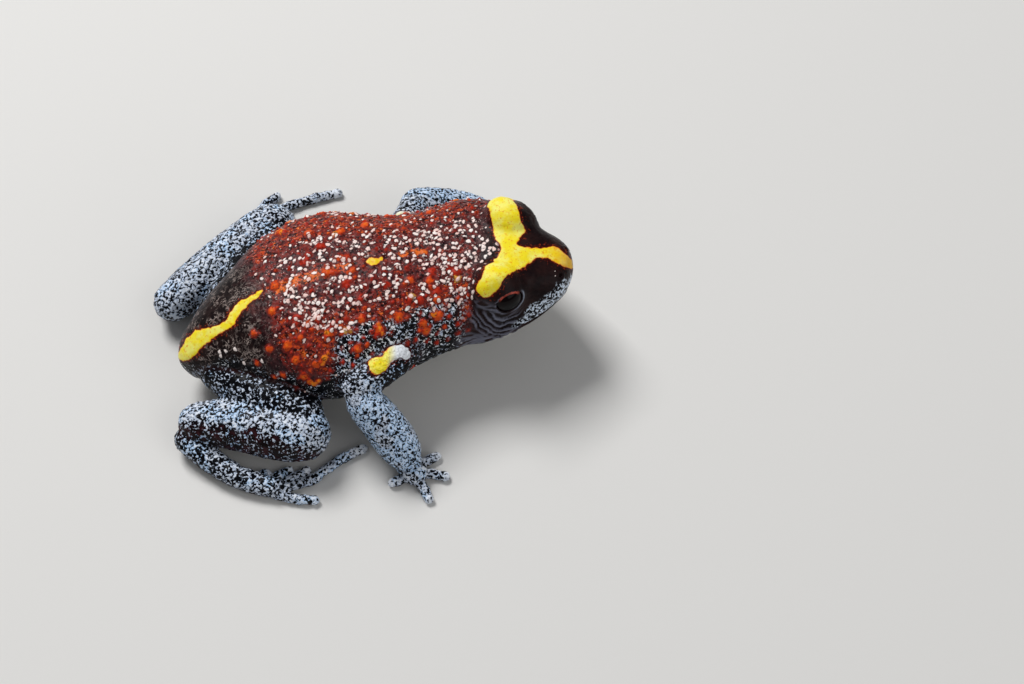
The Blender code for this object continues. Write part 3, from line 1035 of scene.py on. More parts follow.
FLECK_GROUPS = {
    10: ((306, 311), (313, 318), (423, 236), (474, 261)),
    7: ((295, 266), (316, 300), (333, 323), (448, 229), (440, 281), (411, 265), (452, 256), (315, 249)),
    5: (
        (346, 325), (330, 292), (313, 240), (327, 257), (289, 302), (336, 233), (341, 261), (392, 236),
        (381, 248), (310, 264), (378, 286), (397, 277), (345, 277), (435, 253), (453, 274), (461, 288),
        (469, 249), (412, 297), (366, 249), (308, 322), (478, 256), (459, 262), (446, 268), (427, 262),
    ),
    3: (
        (280, 266), (301, 243), (359, 255), (404, 242), (415, 235), (301, 281), (317, 275), (366, 283),
        (363, 298), (340, 303), (321, 312), (389, 269), (418, 243), (438, 236), (459, 225), (467, 223),
        (481, 242), (487, 250), (498, 249), (447, 254), (426, 261), (445, 269), (453, 285), (467, 279),
        (421, 290), (426, 297), (435, 303), (448, 304), (432, 234), (403, 242), (470, 233), (483, 229),
        (367, 240), (337, 243), (289, 292), (280, 291), (404, 262), (373, 300), (350, 292), (384, 300),
        (352, 306), (396, 290), (456, 243), (441, 245), (395, 253), (372, 273), (333, 280), (351, 247),
        (374, 233), (491, 257), (472, 292), (462, 300), (323, 331), (297, 300),
    ),
}


@dataclass
class Anatomy:
    """Where every point of the skin lies on the body."""

    trunk: Trunk
    head: HeadForms
    limbs: tuple[Limbs, ...]
    view: PhotoView
    points: Values
    normals: Values
    core: BVHTree

    def __post_init__(self) -> None:
        """Measures the points once."""
        self.behind, self.aside = self.trunk.head_axes(self.points)
        self.along, self.share = self.trunk.plan_share(self.points)
        self.picture = self.view.pixels(self.points)
        to_camera = self.view.place() - self.points
        to_camera /= np.linalg.norm(to_camera, axis=1)[:, None]
        self.facing = np.einsum("ij,ij->i", self.normals, to_camera)
        self.trunk_gap = self.measure_trunk()
        self.gaps: dict[str, Values] = {}
        self.shares: dict[str, Values] = {}
        for limbs in self.limbs:
            for limb in (*limbs.large().values(), *limbs.small().values()):
                self.gaps[limb.name], self.shares[limb.name] = limb.distance(self.points)
        nearest = np.min(np.stack(list(self.gaps.values())), axis=0)
        self.limb = smoothstep(-0.25, 0.3, self.trunk_gap - nearest)
        self.up = self.normals[:, 2]

    def measure_trunk(self) -> Values:
        """How far outside the bare loft of torso and head each point lies.

        Returns:
            Millimetres outside it, below 0 inside.
        """
        gaps = np.empty(len(self.points))
        for index, point in enumerate(self.points):
            place, normal, _, distance = self.core.find_nearest(to_world(*point))
            outside = (to_world(*point) - place).dot(normal) > 0
            gaps[index] = distance / METRES if outside else -distance / METRES
        return gaps

    def on(self, *names: str) -> Values:
        """How much each point belongs to the named limbs rather than to others.

        Args:
            *names: Names of limbs.

        Returns:
            From 0 to 1 for each point.
        """
        own = np.min(np.stack([self.gaps[name] for name in names]), axis=0)
        others = [gap for name, gap in self.gaps.items() if name not in names]
        rest = np.minimum(np.min(np.stack(others), axis=0), self.trunk_gap)
        return smoothstep(-0.2, 0.2, rest - own)

    def head_weight(self) -> Values:
        """One on the head, falling to nothing over the neck."""
        return smoothstep(7.5, 6.3, self.behind) * (1.0 - self.limb)

    def on_trunk(self) -> Values:
        """One on torso and head, nothing on the limbs."""
        return 1.0 - self.limb

    def at_pixels(self, places: Outline, mask: Values) -> list[int]:
        """The skin points that show at the given places of the photo.

        Args:
            places: Pixels of the photo.
            mask: Which skin points may be taken.

        Returns:
            The number of one skin point for each place.
        """
        allowed = np.nonzero(mask)[0]
        picture = self.picture[allowed]
        return [int(allowed[np.argmin(((picture - place) ** 2).sum(axis=1))]) for place in places]


@dataclass(frozen=True)
class Blob:
    """One raised speck or wart: the skin point it sits on, its size, shape and colour place."""

    point: int
    radius: float
    tone: float = 0.0
    stretch: float = 1.0
    turn: float = 0.0


@dataclass
class BlobField:
    """Blobs of one kind, stamped onto the skin, with a crease between those that touch."""

    anatomy: Anatomy
    tree: kdtree.KDTree
    height: float
    margin: float = 0.3
    crease: float = 0.0

    def spread(self, rng: np.random.Generator, weights: Values, count: int, apart: float) -> list[int]:
        """Picks skin points at random that keep clear of one another.

        Args:
            rng: Where the random numbers come from.
            weights: How likely each skin point is, 0 for never.
            count: How many points are tried.
            apart: The least distance between two of them.

        Returns:
            The points' numbers.
        """
        points = self.anatomy.points
        kept: list[int] = []
        chances = weights + LEAST_CHANCE
        for index in rng.choice(len(points), size=count, replace=False, p=chances / chances.sum()):
            if np.all(np.linalg.norm(points[kept] - points[index], axis=1) >= apart):
                kept.append(int(index))
        return kept

    def stamp(self, blobs: Iterable[Blob]) -> tuple[Values, Values, Values]:
        """Measures the skin against the blobs.

        Args:
            blobs: What is stamped.

        Returns:
            The signed distance inside the nearest blob, that blob's colour place, and the blobs' relief.
        """
        points = self.anatomy.points
        gap = np.full(len(points), -self.margin)
        second = gap.copy()
        tone = np.zeros(len(points))
        relief = np.zeros(len(points))
        for blob in blobs:
            centre = points[blob.point]
            normal = Vector(self.anatomy.normals[blob.point])
            axis = normal.orthogonal().normalized()
            axis.rotate(Matrix.Rotation(blob.turn, 3, normal))
            found = self.tree.find_range(centre, blob.radius * blob.stretch + self.margin)
            near = np.array([index for _, index, _ in found])
            offsets = points[near] - centre
            length = offsets @ np.array(axis)
            rest = np.maximum((offsets ** 2).sum(axis=1) - length ** 2, 0.0)
            inside = blob.radius - np.sqrt((length / blob.stretch) ** 2 + rest)
            second[near] = np.maximum(second[near], np.minimum(inside, gap[near]))
            better = inside > gap[near]
            gap[near[better]] = inside[better]
            tone[near[better]] = blob.tone
            dome = self.height * np.sqrt(np.clip(inside / blob.radius, 0.0, 1.0))
            relief[near] = np.maximum(relief[near], dome)
        if self.crease:
            gap = np.minimum(gap, (gap - second) / 2 - self.crease)
        return gap, tone, relief


@dataclass
class Markings:
    """Where each colour and each raised spot of the skin goes: one value for each point and layer."""

    anatomy: Anatomy
    layers: Layers
    tree: kdtree.KDTree
    rng: np.random.Generator
    mark_height: float = 0.03
    wart_height: float = 0.15
    wart_margin: float = 0.5
    fleck_height: float = 0.05
    fleck_crease: float = 0.022
    # How many places are tried for each kind, and how far apart they keep.
    hidden_warts: tuple[int, float] = (90, 1.3)
    small_warts: tuple[int, float] = (480, 0.62)
    hidden_groups: tuple[int, float] = (30, 1.2)
    single_flecks: tuple[int, float] = (340, 0.42)
    single_sizes: Pair = (0.06, 0.13)
    group_sizes: Pair = (0.1, 0.175)
    group_spread: float = 0.17
    group_gap: float = 0.19
    # Radius, colour place, stretch and turn of the specks that the photo shows one by one.
    rump_dot: Row = (0.13, 0.8, 1.2, 1.2)
    head_dash: Row = (0.10, 0.5, 2.2, 0.3)
    nostril_dot: Row = (0.045, 0.6, 1.0, 0.0)
    net_cover: float = 0.6

    def __post_init__(self) -> None:
        """Starts with no relief."""
        self.relief = np.zeros(len(self.anatomy.points))

    def shown(self) -> Values:
        """Trunk points that the photo shows well."""
        return (self.anatomy.facing > 0.1) & (self.anatomy.limb < 0.4)

    def yellow(self) -> None:
        """The crown mark, the rump stripe, the spot of the back and the patches of both arms."""
        body = self.anatomy
        per_mm = body.view.pixels_per_mm()
        high = (body.points[:, 2] > 6.6) & (body.limb < 0.5)
        far_picture = body.view.pixels(np.stack(self.mirrored_head(), axis=1))
        crown = inside_outline(rounded(CROWN_MARK), body.picture) + 0.8
        far_crown = inside_outline(rounded(CROWN_MARK), far_picture) + 0.8
        hidden = smoothstep(0.3, 0.0, body.facing) * (body.aside > 0)
        crown += (far_crown - crown) * hidden
        low = (body.aside > 1.0) & (body.points[:, 2] < 7.4)
        crown = np.where(high & ~low, crown, -9.0)
        rest = [inside_outline(rounded(line), body.picture) for line in (RUMP_STRIPE, BACK_SPOT)]
        rest = np.where(self.shown(), np.max(np.stack(rest), axis=0) + 0.5, -9.0)
        arms = self.arm_marks()
        marks = np.maximum(np.maximum(crown, rest) / per_mm, arms)
        marks += 0.09 * noise_at(body.points, 2.0, octaves=3, offset=41.0)
        self.layers["mark"] = np.clip(marks, -0.6, 0.6)
        self.relief += self.mark_height * smoothstep(-0.02, 0.1, marks)
        snout = smoothstep(538.0, 572.0, body.picture[:, 0]) * smoothstep(0.0, 1.0, crown + 2.0)
        spot = 0.6 * smoothstep(-1.0, 1.0, inside_outline(BACK_SPOT, body.picture)) * self.shown()
        self.layers["ripe"] = np.maximum(snout * (body.behind < 4.0), spot)

    def mirrored_head(self) -> tuple[Values, Values, Values]:
        """Every point mirrored across the head's own line.

        Returns:
            The x, y and z of the mirrored points.
        """
        body = self.anatomy
        ahead = (math.cos(body.trunk.yaw), math.sin(body.trunk.yaw))
        x = body.trunk.snout_tip[0] - ahead[0] * body.behind + ahead[1] * body.aside
        y = body.trunk.snout_tip[1] - ahead[1] * body.behind - ahead[0] * body.aside
        return x, y, body.points[:, 2]

    def arm_marks(self) -> Values:
        """Signed distances inside the pale patches of the two upper arms, in millimetres.

        Returns:
            One distance for each point.
        """
        body = self.anatomy
        near = inside_outline(rounded(ARM_PATCH), body.picture) / body.view.pixels_per_mm()
        near_arm = np.minimum(body.gaps["upper_arm_right"], body.gaps["forearm_right"]) < body.trunk_gap
        near = np.where(near_arm & (body.facing > 0.0), near, -9.0)
        share = body.shares["upper_arm_left"]
        far = 0.7 - np.hypot((share - 0.3) * 4.5, (body.up - 0.85) * 2.0)
        far_arm = body.gaps["upper_arm_left"] < np.minimum(body.trunk_gap, body.gaps["forearm_left"])
        far = np.where(far_arm, far, -9.0)
        # Painted highlight: pearl on the shoulder end of the near arm patch and on the outer part of the far
        # one.
        white = np.where(near_arm, smoothstep(386.0, 398.0, body.picture[:, 0]), smoothstep(0.3, 0.5, share))
        self.layers["arm_highlight"] = white * (near_arm | far_arm)
        return np.maximum(near, far)

    def warts(self) -> None:
        """The warts of the back and flanks, first those that the photo shows and then scattered ones."""
        body = self.anatomy
        field_of = BlobField(body, self.tree, self.wart_height, self.wart_margin)
        blobs = []
        for kind, places in PHOTO_WARTS.items():
            tone, radius = kind.value
            for point in body.at_pixels(places, self.shown()):
                on_rump = 0.75 if body.along[point] < 6.5 else 1.0
                blobs += self.wart(point, radius * on_rump, tone)
        hidden = body.on_trunk() * window(body.along, 7.0, 21.0, 1.0) * smoothstep(0.1, -0.05, body.facing)
        hidden *= smoothstep(3.5, 5.0, body.points[:, 2])
        for point in field_of.spread(self.rng, hidden, *self.hidden_warts):
            if hidden[point] > 0.3:
                tone = self.rng.choice((0.0, 0.4, 0.4, 0.7))
                blobs += self.wart(point, self.rng.uniform(0.22, 0.34), tone)
        small = body.on_trunk() * window(body.along, 7.0, 21.5, 0.8) * smoothstep(0.0, 0.4, body.up)
        small *= smoothstep(-0.05, -0.3, self.layers["mark"])
        small *= 0.35 + 0.65 * smoothstep(0.35, 0.75, np.abs(body.share))
        for point in field_of.spread(self.rng, small, *self.small_warts):
            if small[point] > 0.3:
                blobs.append(Blob(point, self.rng.uniform(0.07, 0.15), self.rng.choice((0.0, 0.0, 0.3)), 1.2))
        self.lay("wart", field_of, blobs)

    def lay(self, name: str, field_of: BlobField, blobs: Sequence[Blob]) -> None:
        """Stamps blobs onto the skin: a layer of distances, one of colour places, and relief.

        Args:
            name: The layer's name.
            field_of: How the blobs are stamped.
            blobs: What is stamped.
        """
        gap, tone, relief = field_of.stamp(blobs)
        self.layers[name] = gap
        self.layers[f"{name}_tone"] = tone
        self.relief += relief
        log.info("%s: %d blobs", name, len(blobs))

    def wart(self, point: int, radius: float, tone: float) -> list[Blob]:
        """An uneven wart: one round lump with smaller ones at its side.

        Args:
            point: The skin point at its middle.
            radius: The lump's radius in millimetres.
            tone: Its colour place.

        Returns:
            The lumps.
        """
        lumps = [Blob(point, radius * self.rng.uniform(0.75, 1.0), tone, self.rng.uniform(1.0, 1.3))]
        for _ in range(self.rng.integers(1, 4)):
            step = self.rng.normal(0.0, radius * 0.62, 3)
            _, beside, _ = self.tree.find(self.anatomy.points[point] + step)
            turn = self.rng.uniform(0, math.pi)
            size = radius * self.rng.uniform(0.35, 0.65)
            lumps.append(Blob(beside, size, max(0.0, tone - self.rng.uniform(0.0, 0.3)), 1.3, turn))
        return lumps

    def flecks(self) -> None:
        """The white specks of the back, in rows and clusters."""
        body = self.anatomy
        field_of = BlobField(body, self.tree, self.fleck_height, crease=self.fleck_crease)
        band = np.exp(-((np.abs(body.share) - 0.33) / 0.22) ** 2)
        dense = 0.85 * band + 0.15
        dense *= window(body.along, 6.8, 21.8, 0.7) * body.on_trunk() * smoothstep(0.25, 0.6, body.up)
        dense *= smoothstep(-0.02, -0.25, self.layers["mark"])
        groups = {
            count: body.at_pixels(places, self.shown() & (self.layers["mark"] < -0.15))
            for count, places in FLECK_GROUPS.items()
        }
        hidden = dense * smoothstep(0.35, 0.1, body.facing)
        groups[4] = field_of.spread(self.rng, hidden, *self.hidden_groups)
        blobs = []
        for count, middles in groups.items():
            for middle in middles:
                blobs += self.group(middle, count)
        for point in field_of.spread(self.rng, dense, *self.single_flecks):
            if dense[point] > 0.05:
                blobs.append(self.fleck(point, *self.single_sizes))
        dots = ((RUMP_DOTS, self.rump_dot), (HEAD_DASHES, self.head_dash), (NOSTRIL_DOTS, self.nostril_dot))
        for places, shape in dots:
            blobs += [Blob(point, *shape) for point in body.at_pixels(places, self.shown())]
        self.lay("fleck", field_of, blobs)

    def fleck(self, point: int, least: float, most: float) -> Blob:
        """One white speck between two sizes, turned and stretched by chance."""
        stretch, size = self.rng.choice((1.0, 1.25, 1.7)), self.rng.uniform(least, most)
        return Blob(point, size / stretch ** 0.5, self.rng.uniform(), stretch, self.rng.uniform(0, math.pi))

    def group(self, middle: int, count: int) -> list[Blob]:
        """A cluster of specks that touch one another.

        Args:
            middle: The skin point at its middle.
            count: How many specks it has.

        Returns:
            The specks.
        """
        body = self.anatomy
        spread = self.group_spread * math.sqrt(count)
        kept: list[int] = []
        for _ in range(count * 3):
            step = self.rng.normal(0.0, spread, 3)
            _, point, _ = self.tree.find(body.points[middle] + step)
            offsets = body.points[kept] - body.points[point]
            if len(kept) < count and np.all(np.linalg.norm(offsets, axis=1) > self.group_gap):
                kept.append(point)
        return [self.fleck(point, *self.group_sizes) for point in kept]

    def regions(self, head: HeadForms) -> None:
        """The soft regions that the skin's colours follow.

        Args:
            head: The forms of the head.
        """
        body = self.anatomy
        trunk = body.on_trunk()
        values = self.layers
        on_head = body.head_weight()
        back = window(body.along, 6.2, 23.0, 0.8) * trunk
        warm = smoothstep(0.25, 0.6, np.abs(body.share)) * smoothstep(1.1, 0.95, np.abs(body.share))
        nape = smoothstep(20.3, 22.6, body.along)
        steep = smoothstep(0.15, 0.75, body.up)
        values["mottle"] = back * (0.36 + 0.52 * steep + 0.12 * warm - 0.42 * nape)
        streak = [inside_outline(line, body.picture) for line in (MIDLINE_STREAK, BACK_DASH)]
        streak = smoothstep(-3.5, 2.0, np.max(np.stack(streak), axis=0))
        values["streak"] = streak * self.shown()
        values["hot"] = 0.5 * warm * back * steep
        wander = noise_at(body.points, 0.7, octaves=3, offset=31.0)
        edge = 0.36 + 0.2 * smoothstep(12.0, 17.0, body.along)
        flank = smoothstep(edge + 0.14, edge - 0.2, body.up + 0.3 * wander)
        shown = smoothstep(-4.0, 4.0, inside_outline(FLANK_NET, body.picture) + 9.0 * wander)
        flank = np.maximum(flank, shown * (body.facing > 0.0))
        values["flank"] = trunk * (1.0 - on_head) * flank
        # Fewer pale specks low on the flanks: partly the skin's own black, partly painted shade.
        values["deep"] = smoothstep(6.9, 4.9, body.points[:, 2] + 1.2 * wander)
        values["rump"] = trunk * smoothstep(6.9, 5.2, body.along + 1.1 * wander)
        values["limb"] = body.limb
        values["belly"] = smoothstep(-0.35, -0.7, body.up) * np.maximum(trunk, 0.5)
        self.face(head)
        self.limb_cover()

    def face(self, head: HeadForms) -> None:
        """The regions of the head: its plain skin, the painted highlights on the crests of its folds and
        along the front of the lower lids, and the speckled lip.

        Args:
            head: The forms of the head.
        """
        body = self.anatomy
        trunk = body.on_trunk()
        values = self.layers
        on_head = body.head_weight()
        top = smoothstep(0.2, 0.6, body.up) * smoothstep(5.6, 6.8, body.behind)
        values["head"] = on_head * (1.0 - top)
        # Painted highlight: the crests of the jaw wrinkles and of the eye folds are painted paler.
        stretched = body.points * np.array((0.6, 0.6, 1.6))
        ridges = 1.0 - 3.0 * np.abs(noise_at(stretched, 2.0, offset=12.0))
        jaw = smoothstep(0.45, 0.0, body.up) * window(body.behind, 3.6, 11.0, 0.8) * trunk
        folds = smoothstep(0.0, 0.07, SkinRelief(body, head).eye_folds())
        values["fold_highlight"] = np.maximum(jaw * smoothstep(-0.1, 0.7, ridges), folds)
        # Painted highlight: a thin pale line along the front of each lower lid.
        values["rim"] = self.lid_glints(head)
        height = body.points[:, 2] - head.mouth_height(body.behind)
        band = window(height, 0.08, 0.6, 0.1) * smoothstep(3.7, 3.1, body.behind) * trunk
        mirrored = body.view.pixels(np.stack(self.mirrored_head(), axis=1))
        picture = np.where((body.aside > 0)[:, None], mirrored, body.picture)
        ragged = inside_outline(LIP_BAND, picture) + 4.0 * noise_at(body.points, 1.6, octaves=2, offset=51.0)
        shown = smoothstep(-2.0, 2.0, ragged) * on_head * (height > 0.0)
        values["lip"] = np.maximum(band, shown * (height < 2.6))
        values["lip"] *= smoothstep(9.0, 8.0, body.behind)

    def lid_glints(self, head: HeadForms) -> Values:
        """A painted highlight: a thin pale line along the front of each lower lid.

        Args:
            head: The forms of the head.

        Returns:
            From 0 to 1 for each point.
        """
        body = self.anatomy
        glints = np.zeros(len(body.points))
        for side in Side:
            offsets = body.points - np.array(head.eye_place(side))
            look = np.array(head.look(side))
            ahead = np.array((look[1], -look[0], 0.0)) * side.value
            across = (offsets @ ahead) / head.opening_size[0]
            rise = (offsets[:, 2] - (head.opening_height - head.eye[2])) / head.opening_size[2]
            ring = np.hypot(across, rise)
            front = smoothstep(-0.2, 0.5, across) * smoothstep(0.7, 0.1, rise) * (offsets @ look > 0.3)
            glints = np.maximum(glints, np.exp(-((ring - 1.1) / 0.05) ** 2) * front)
        return glints * body.on_trunk()

    def limb_cover(self) -> None:
        """How closely the pale granules stand on the limbs, and where the ground between them is brown, both
        partly painted shade.
        """
        body = self.anatomy
        values = self.layers
        values["blue"] = body.on("forearm_right", "forearm_left")
        wander = 5.0 * noise_at(body.points, 1.1, octaves=2, offset=21.0)
        # Painted shade on the limbs' undersides and the lower near shank: a reddish-brown ground, partly the
        # skin's own colour, and fewer pale granules.
        shade = smoothstep(-5.0, 5.0, inside_outline(SHANK_SHADE, body.picture) + wander)
        shade *= body.on("shank_right", "thigh_right") * (body.facing > 0.0)
        below = smoothstep(0.15, -0.45, body.up) * (1.0 - 0.6 * values["blue"])
        brown = np.maximum(shade, 0.8 * below) * body.limb
        tips = np.zeros(len(body.points))
        for name, share in body.shares.items():
            if "toes" in name or "fingers" in name:
                tips = np.maximum(tips, smoothstep(0.8, 0.92, share) * (body.gaps[name] < 0.15))
        cover = np.full(len(body.points), self.net_cover)
        for part, share in LIMB_COVER.items():
            cover += (share - cover) * body.on(f"{part}_right", f"{part}_left")
        # Painted shade where the limbs meet the trunk: fewer pale granules, so darker.
        crease = smoothstep(0.0, 1.1, body.trunk_gap)
        cover *= 0.35 + 0.65 * crease
        # Painted shade in front of the near upper arm: fewer pale granules there.
        dark = smoothstep(-5.0, 3.0, inside_outline(ARM_SHADE, body.picture) + wander) * (body.facing > 0.0)
        cover *= 1.0 - 0.85 * dark
        cover = np.maximum(cover * (1.0 - 0.75 * brown), 0.85 * tips * body.limb)
        values["cover"] = cover
        values["brown"] = brown
        values["tips"] = tips


@dataclass
class SkinRelief:
    """The skin's own relief: mouth line, nostrils, folds, granules and wrinkles."""

    anatomy: Anatomy
    head: HeadForms
    mouth_depth: float = 0.16
    mouth_width: float = 0.09
    rim_height: float = 0.05
    nostril_depth: float = 0.2
    fold_height: float = 0.09
    fold_start: float = 1.45
    folds_apart: float = 0.36
    wrinkle_height: float = 0.06
    coarse_height: float = 0.06
    fine_height: float = 0.03

    def build(self) -> Values:
        """Adds every part of the relief up, in millimetres along the skin's normals."""
        return self.mouth() + self.nostrils() + self.eye_folds() + self.granules() + self.neck_folds()

    def mouth(self) -> Values:
        """The line between the lips.

        Returns:
            The relief of each point.
        """
        body = self.anatomy
        height = body.points[:, 2] - self.head.mouth_height(body.behind)
        groove = np.exp(-(height / self.mouth_width) ** 2) * body.on_trunk()
        corner = self.head.mouth_corner
        return -self.mouth_depth * groove * smoothstep(corner + 0.5, corner - 0.6, body.behind)

    def nostrils(self) -> Values:
        """The two nostrils with their low rims.

        Returns:
            The relief of each point.
        """
        body = self.anatomy
        lift = np.zeros(len(body.points))
        for side in Side:
            behind, aside, height = self.head.nostril
            place = np.array(body.trunk.head_place(behind, side.value * aside, height))
            nearest = body.points[np.argmin(((body.points - place) ** 2).sum(axis=1))]
            away = np.linalg.norm(body.points - nearest, axis=1)
            lift += self.rim_height * np.exp(-((away - 0.24) / 0.09) ** 2)
            lift -= self.nostril_depth * np.exp(-(away / 0.12) ** 2)
        return lift

    def eye_folds(self) -> Values:
        """The folds that run round the underside of each eye.

        Returns:
            The relief of each point.
        """
        body = self.anatomy
        lift = np.zeros(len(body.points))
        for side in Side:
            offsets = body.points - np.array(self.head.eye_place(side))
            look = np.array(self.head.look(side))
            depth = offsets @ look
            radius = np.linalg.norm(offsets - depth[:, None] * look, axis=1)
            below = smoothstep(0.1, -0.5, offsets[:, 2] / np.maximum(radius, 0.1))
            near = window(radius, 1.25, 2.9, 0.2) * smoothstep(-0.6, 0.1, depth) * body.on_trunk()
            near *= smoothstep(self.head.eye[0] - 1.9, self.head.eye[0] - 0.7, body.behind)
            wander = noise_at(body.points, 1.3, octaves=2, offset=5.0)
            wave = np.cos(math.tau * (radius + 0.22 * wander - self.fold_start) / self.folds_apart)
            lift += self.fold_height * (np.abs(wave) ** 0.7 * np.sign(wave)) * below * near
        return lift

    def neck_folds(self) -> Values:
        """Wrinkles of the cheek and throat, which run along the jaw.

        Returns:
            The relief of each point.
        """
        body = self.anatomy
        stretched = body.points.copy()
        stretched[:, 0] = body.behind * 0.35
        stretched[:, 1] = body.aside * 0.6
        ridges = 1.0 - 3.2 * np.abs(noise_at(stretched, 1.6, offset=12.0))
        side = smoothstep(0.35, -0.2, body.up) * smoothstep(3.4, 4.6, body.behind) * body.on_trunk()
        return self.wrinkle_height * ridges * side * smoothstep(12.5, 9.5, body.behind)

    def granules(self) -> Values:
        """The granular skin of back, flanks and limbs, finer and lower on head and rump.

        Returns:
            The relief of each point.
        """
        body = self.anatomy
        on_head = body.head_weight()
        rump = smoothstep(6.8, 5.4, body.along) * body.on_trunk()
        rough = 1.0 - 0.75 * np.maximum(on_head, rump)
        coarse = noise_at(body.points, 2.6, octaves=2, offset=3.0)
        fine = noise_at(body.points, 5.2, offset=8.0)
        return rough * (self.coarse_height * coarse + self.fine_height * fine)


class Paint:
    """A material under construction, with short ways to add and join its nodes."""

    def __init__(self, name: str) -> None:
        """Starts an empty material.

        Args:
            name: The material's name.
        """
        self.material = bpy.data.materials.new(name)
        self.material.use_nodes = True
        self.tree = self.material.node_tree
        self.tree.nodes.clear()
        self.position = self.node("ShaderNodeTexCoord").outputs["Object"]

    def node(self, kind: str, feeds: Feeds | None = None, **settings: object) -> Node:
        """Adds a node with some of its settings and what feeds its sockets.

        Args:
            kind: The node's type.
            feeds: Outputs, numbers or colours, by the socket's name or its number counted from 0.
            **settings: What is set on it.

        Returns:
            The node.
        """
        made = self.tree.nodes.new(kind)
        for name, value in settings.items():
            setattr(made, name, value)
        for socket, value in (feeds or {}).items():
            if isinstance(value, Socket):
                self.tree.links.new(value, made.inputs[socket])
            else:
                made.inputs[socket].default_value = value
        return made

    def layer(self, name: str) -> Socket:
        """Reads one of the skin's layers."""
        return self.node("ShaderNodeAttribute", attribute_name=name).outputs["Fac"]

    def noise(self, scale: float, detail: float = 2.0, rough: float = 0.5, bend: float = 0.0) -> Socket:
        """Noise from 0 to 1, by waves to the metre, finer layers, their strength and its own bend."""
        feeds = {"Scale": scale, "Detail": detail, "Roughness": rough, "Distortion": bend}
        return self.node("ShaderNodeTexNoise", {"Vector": self.position, **feeds}).outputs["Fac"]

    def reckon(self, kind: str, first: object, second: object) -> Socket:
        """One step of arithmetic between two values, by its name in the node."""
        return self.node("ShaderNodeMath", {0: first, 1: second}, operation=kind).outputs[0]

    def chain(self, kind: str, values: Sequence[object]) -> Socket:
        """The same step of arithmetic through several values.

        Args:
            kind: The operation.
            values: What it joins, in their order.

        Returns:
            The result.
        """
        result = values[0]
        for value in values[1:]:
            result = self.reckon(kind, result, value)
        return result

    def times(self, *values: object) -> Socket:
        """The product of several values."""
        return self.chain("MULTIPLY", values)

    def plus(self, *values: object) -> Socket:
        """The sum of several values."""
        return self.chain("ADD", values)

    def step(self, value: object, low: object, high: object) -> Socket:
        """A soft step from 0 at low to 1 at high."""
        feeds = {"Value": value, "From Min": low, "From Max": high}
        return self.node("ShaderNodeMapRange", feeds, interpolation_type="SMOOTHSTEP").outputs["Result"]

    def scaled(self, value: object, low: float, high: float) -> Socket:
        """A value from 0 to 1 moved to run from low to high."""
        feeds = {"Value": value, "To Min": low, "To Max": high}
        return self.node("ShaderNodeMapRange", feeds).outputs["Result"]

    def mix(self, share: object, first: object, second: object) -> Socket:
        """A colour between two others, the second where share is 1."""
        return self.node("ShaderNodeMix", {0: share, 6: first, 7: second}, data_type="RGBA").outputs[2]

    def grain(self, low: float, high: float, *noise: float) -> Socket:
        """A soft step through noise, whose scale and other settings follow."""
        return self.step(self.noise(*noise), low, high)

    def pushed(self, push: Socket, low: float, high: float, *noise: float) -> Socket:
        """A soft step through noise that a push raises or lowers."""
        return self.step(self.plus(self.noise(*noise), push), low, high)

    def over(self, base: object, colour: object, *shares: object) -> Socket:
        """A colour laid over a base, as thickly as the product of the shares says."""
        return self.mix(self.times(*shares), base, colour)

    def shades(self, value: object, stops: Sequence[tuple[float, Colour]]) -> Socket:
        """A colour read from a row of colours with their places.

        Args:
            value: Where the colour is read.
            stops: The places and colours of the row.

        Returns:
            The colour.
        """
        made = self.node("ShaderNodeValToRGB", {"Fac": value})
        ramp = made.color_ramp
        while len(ramp.elements) < len(stops):
            ramp.elements.new(0.5)
        for element, (place, colour) in zip(ramp.elements, stops):
            element.position = place
            element.color = colour
        return made.outputs["Color"]

    def bump(self, height: object, depth: float, strength: float = 1.0, under: object = None) -> Socket:
        """A normal bent by fine relief.

        Args:
            height: The relief, from 0 to 1.
            depth: Its depth in metres.
            strength: How much of it counts.
            under: A normal that is bent already.

        Returns:
            The bent normal.
        """
        feeds = {"Strength": strength, "Distance": depth, "Height": height}
        if under is not None:
            feeds["Normal"] = under
        return self.node("ShaderNodeBump", feeds).outputs["Normal"]

    def finish(self, feeds: Feeds) -> Material:
        """Ends the material in one shader.

        Args:
            feeds: What feeds the shader.

        Returns:
            The material.
        """
        shader = self.node("ShaderNodeBsdfPrincipled", feeds)
        self.node("ShaderNodeOutputMaterial", {"Surface": shader.outputs[0]})
        return self.material


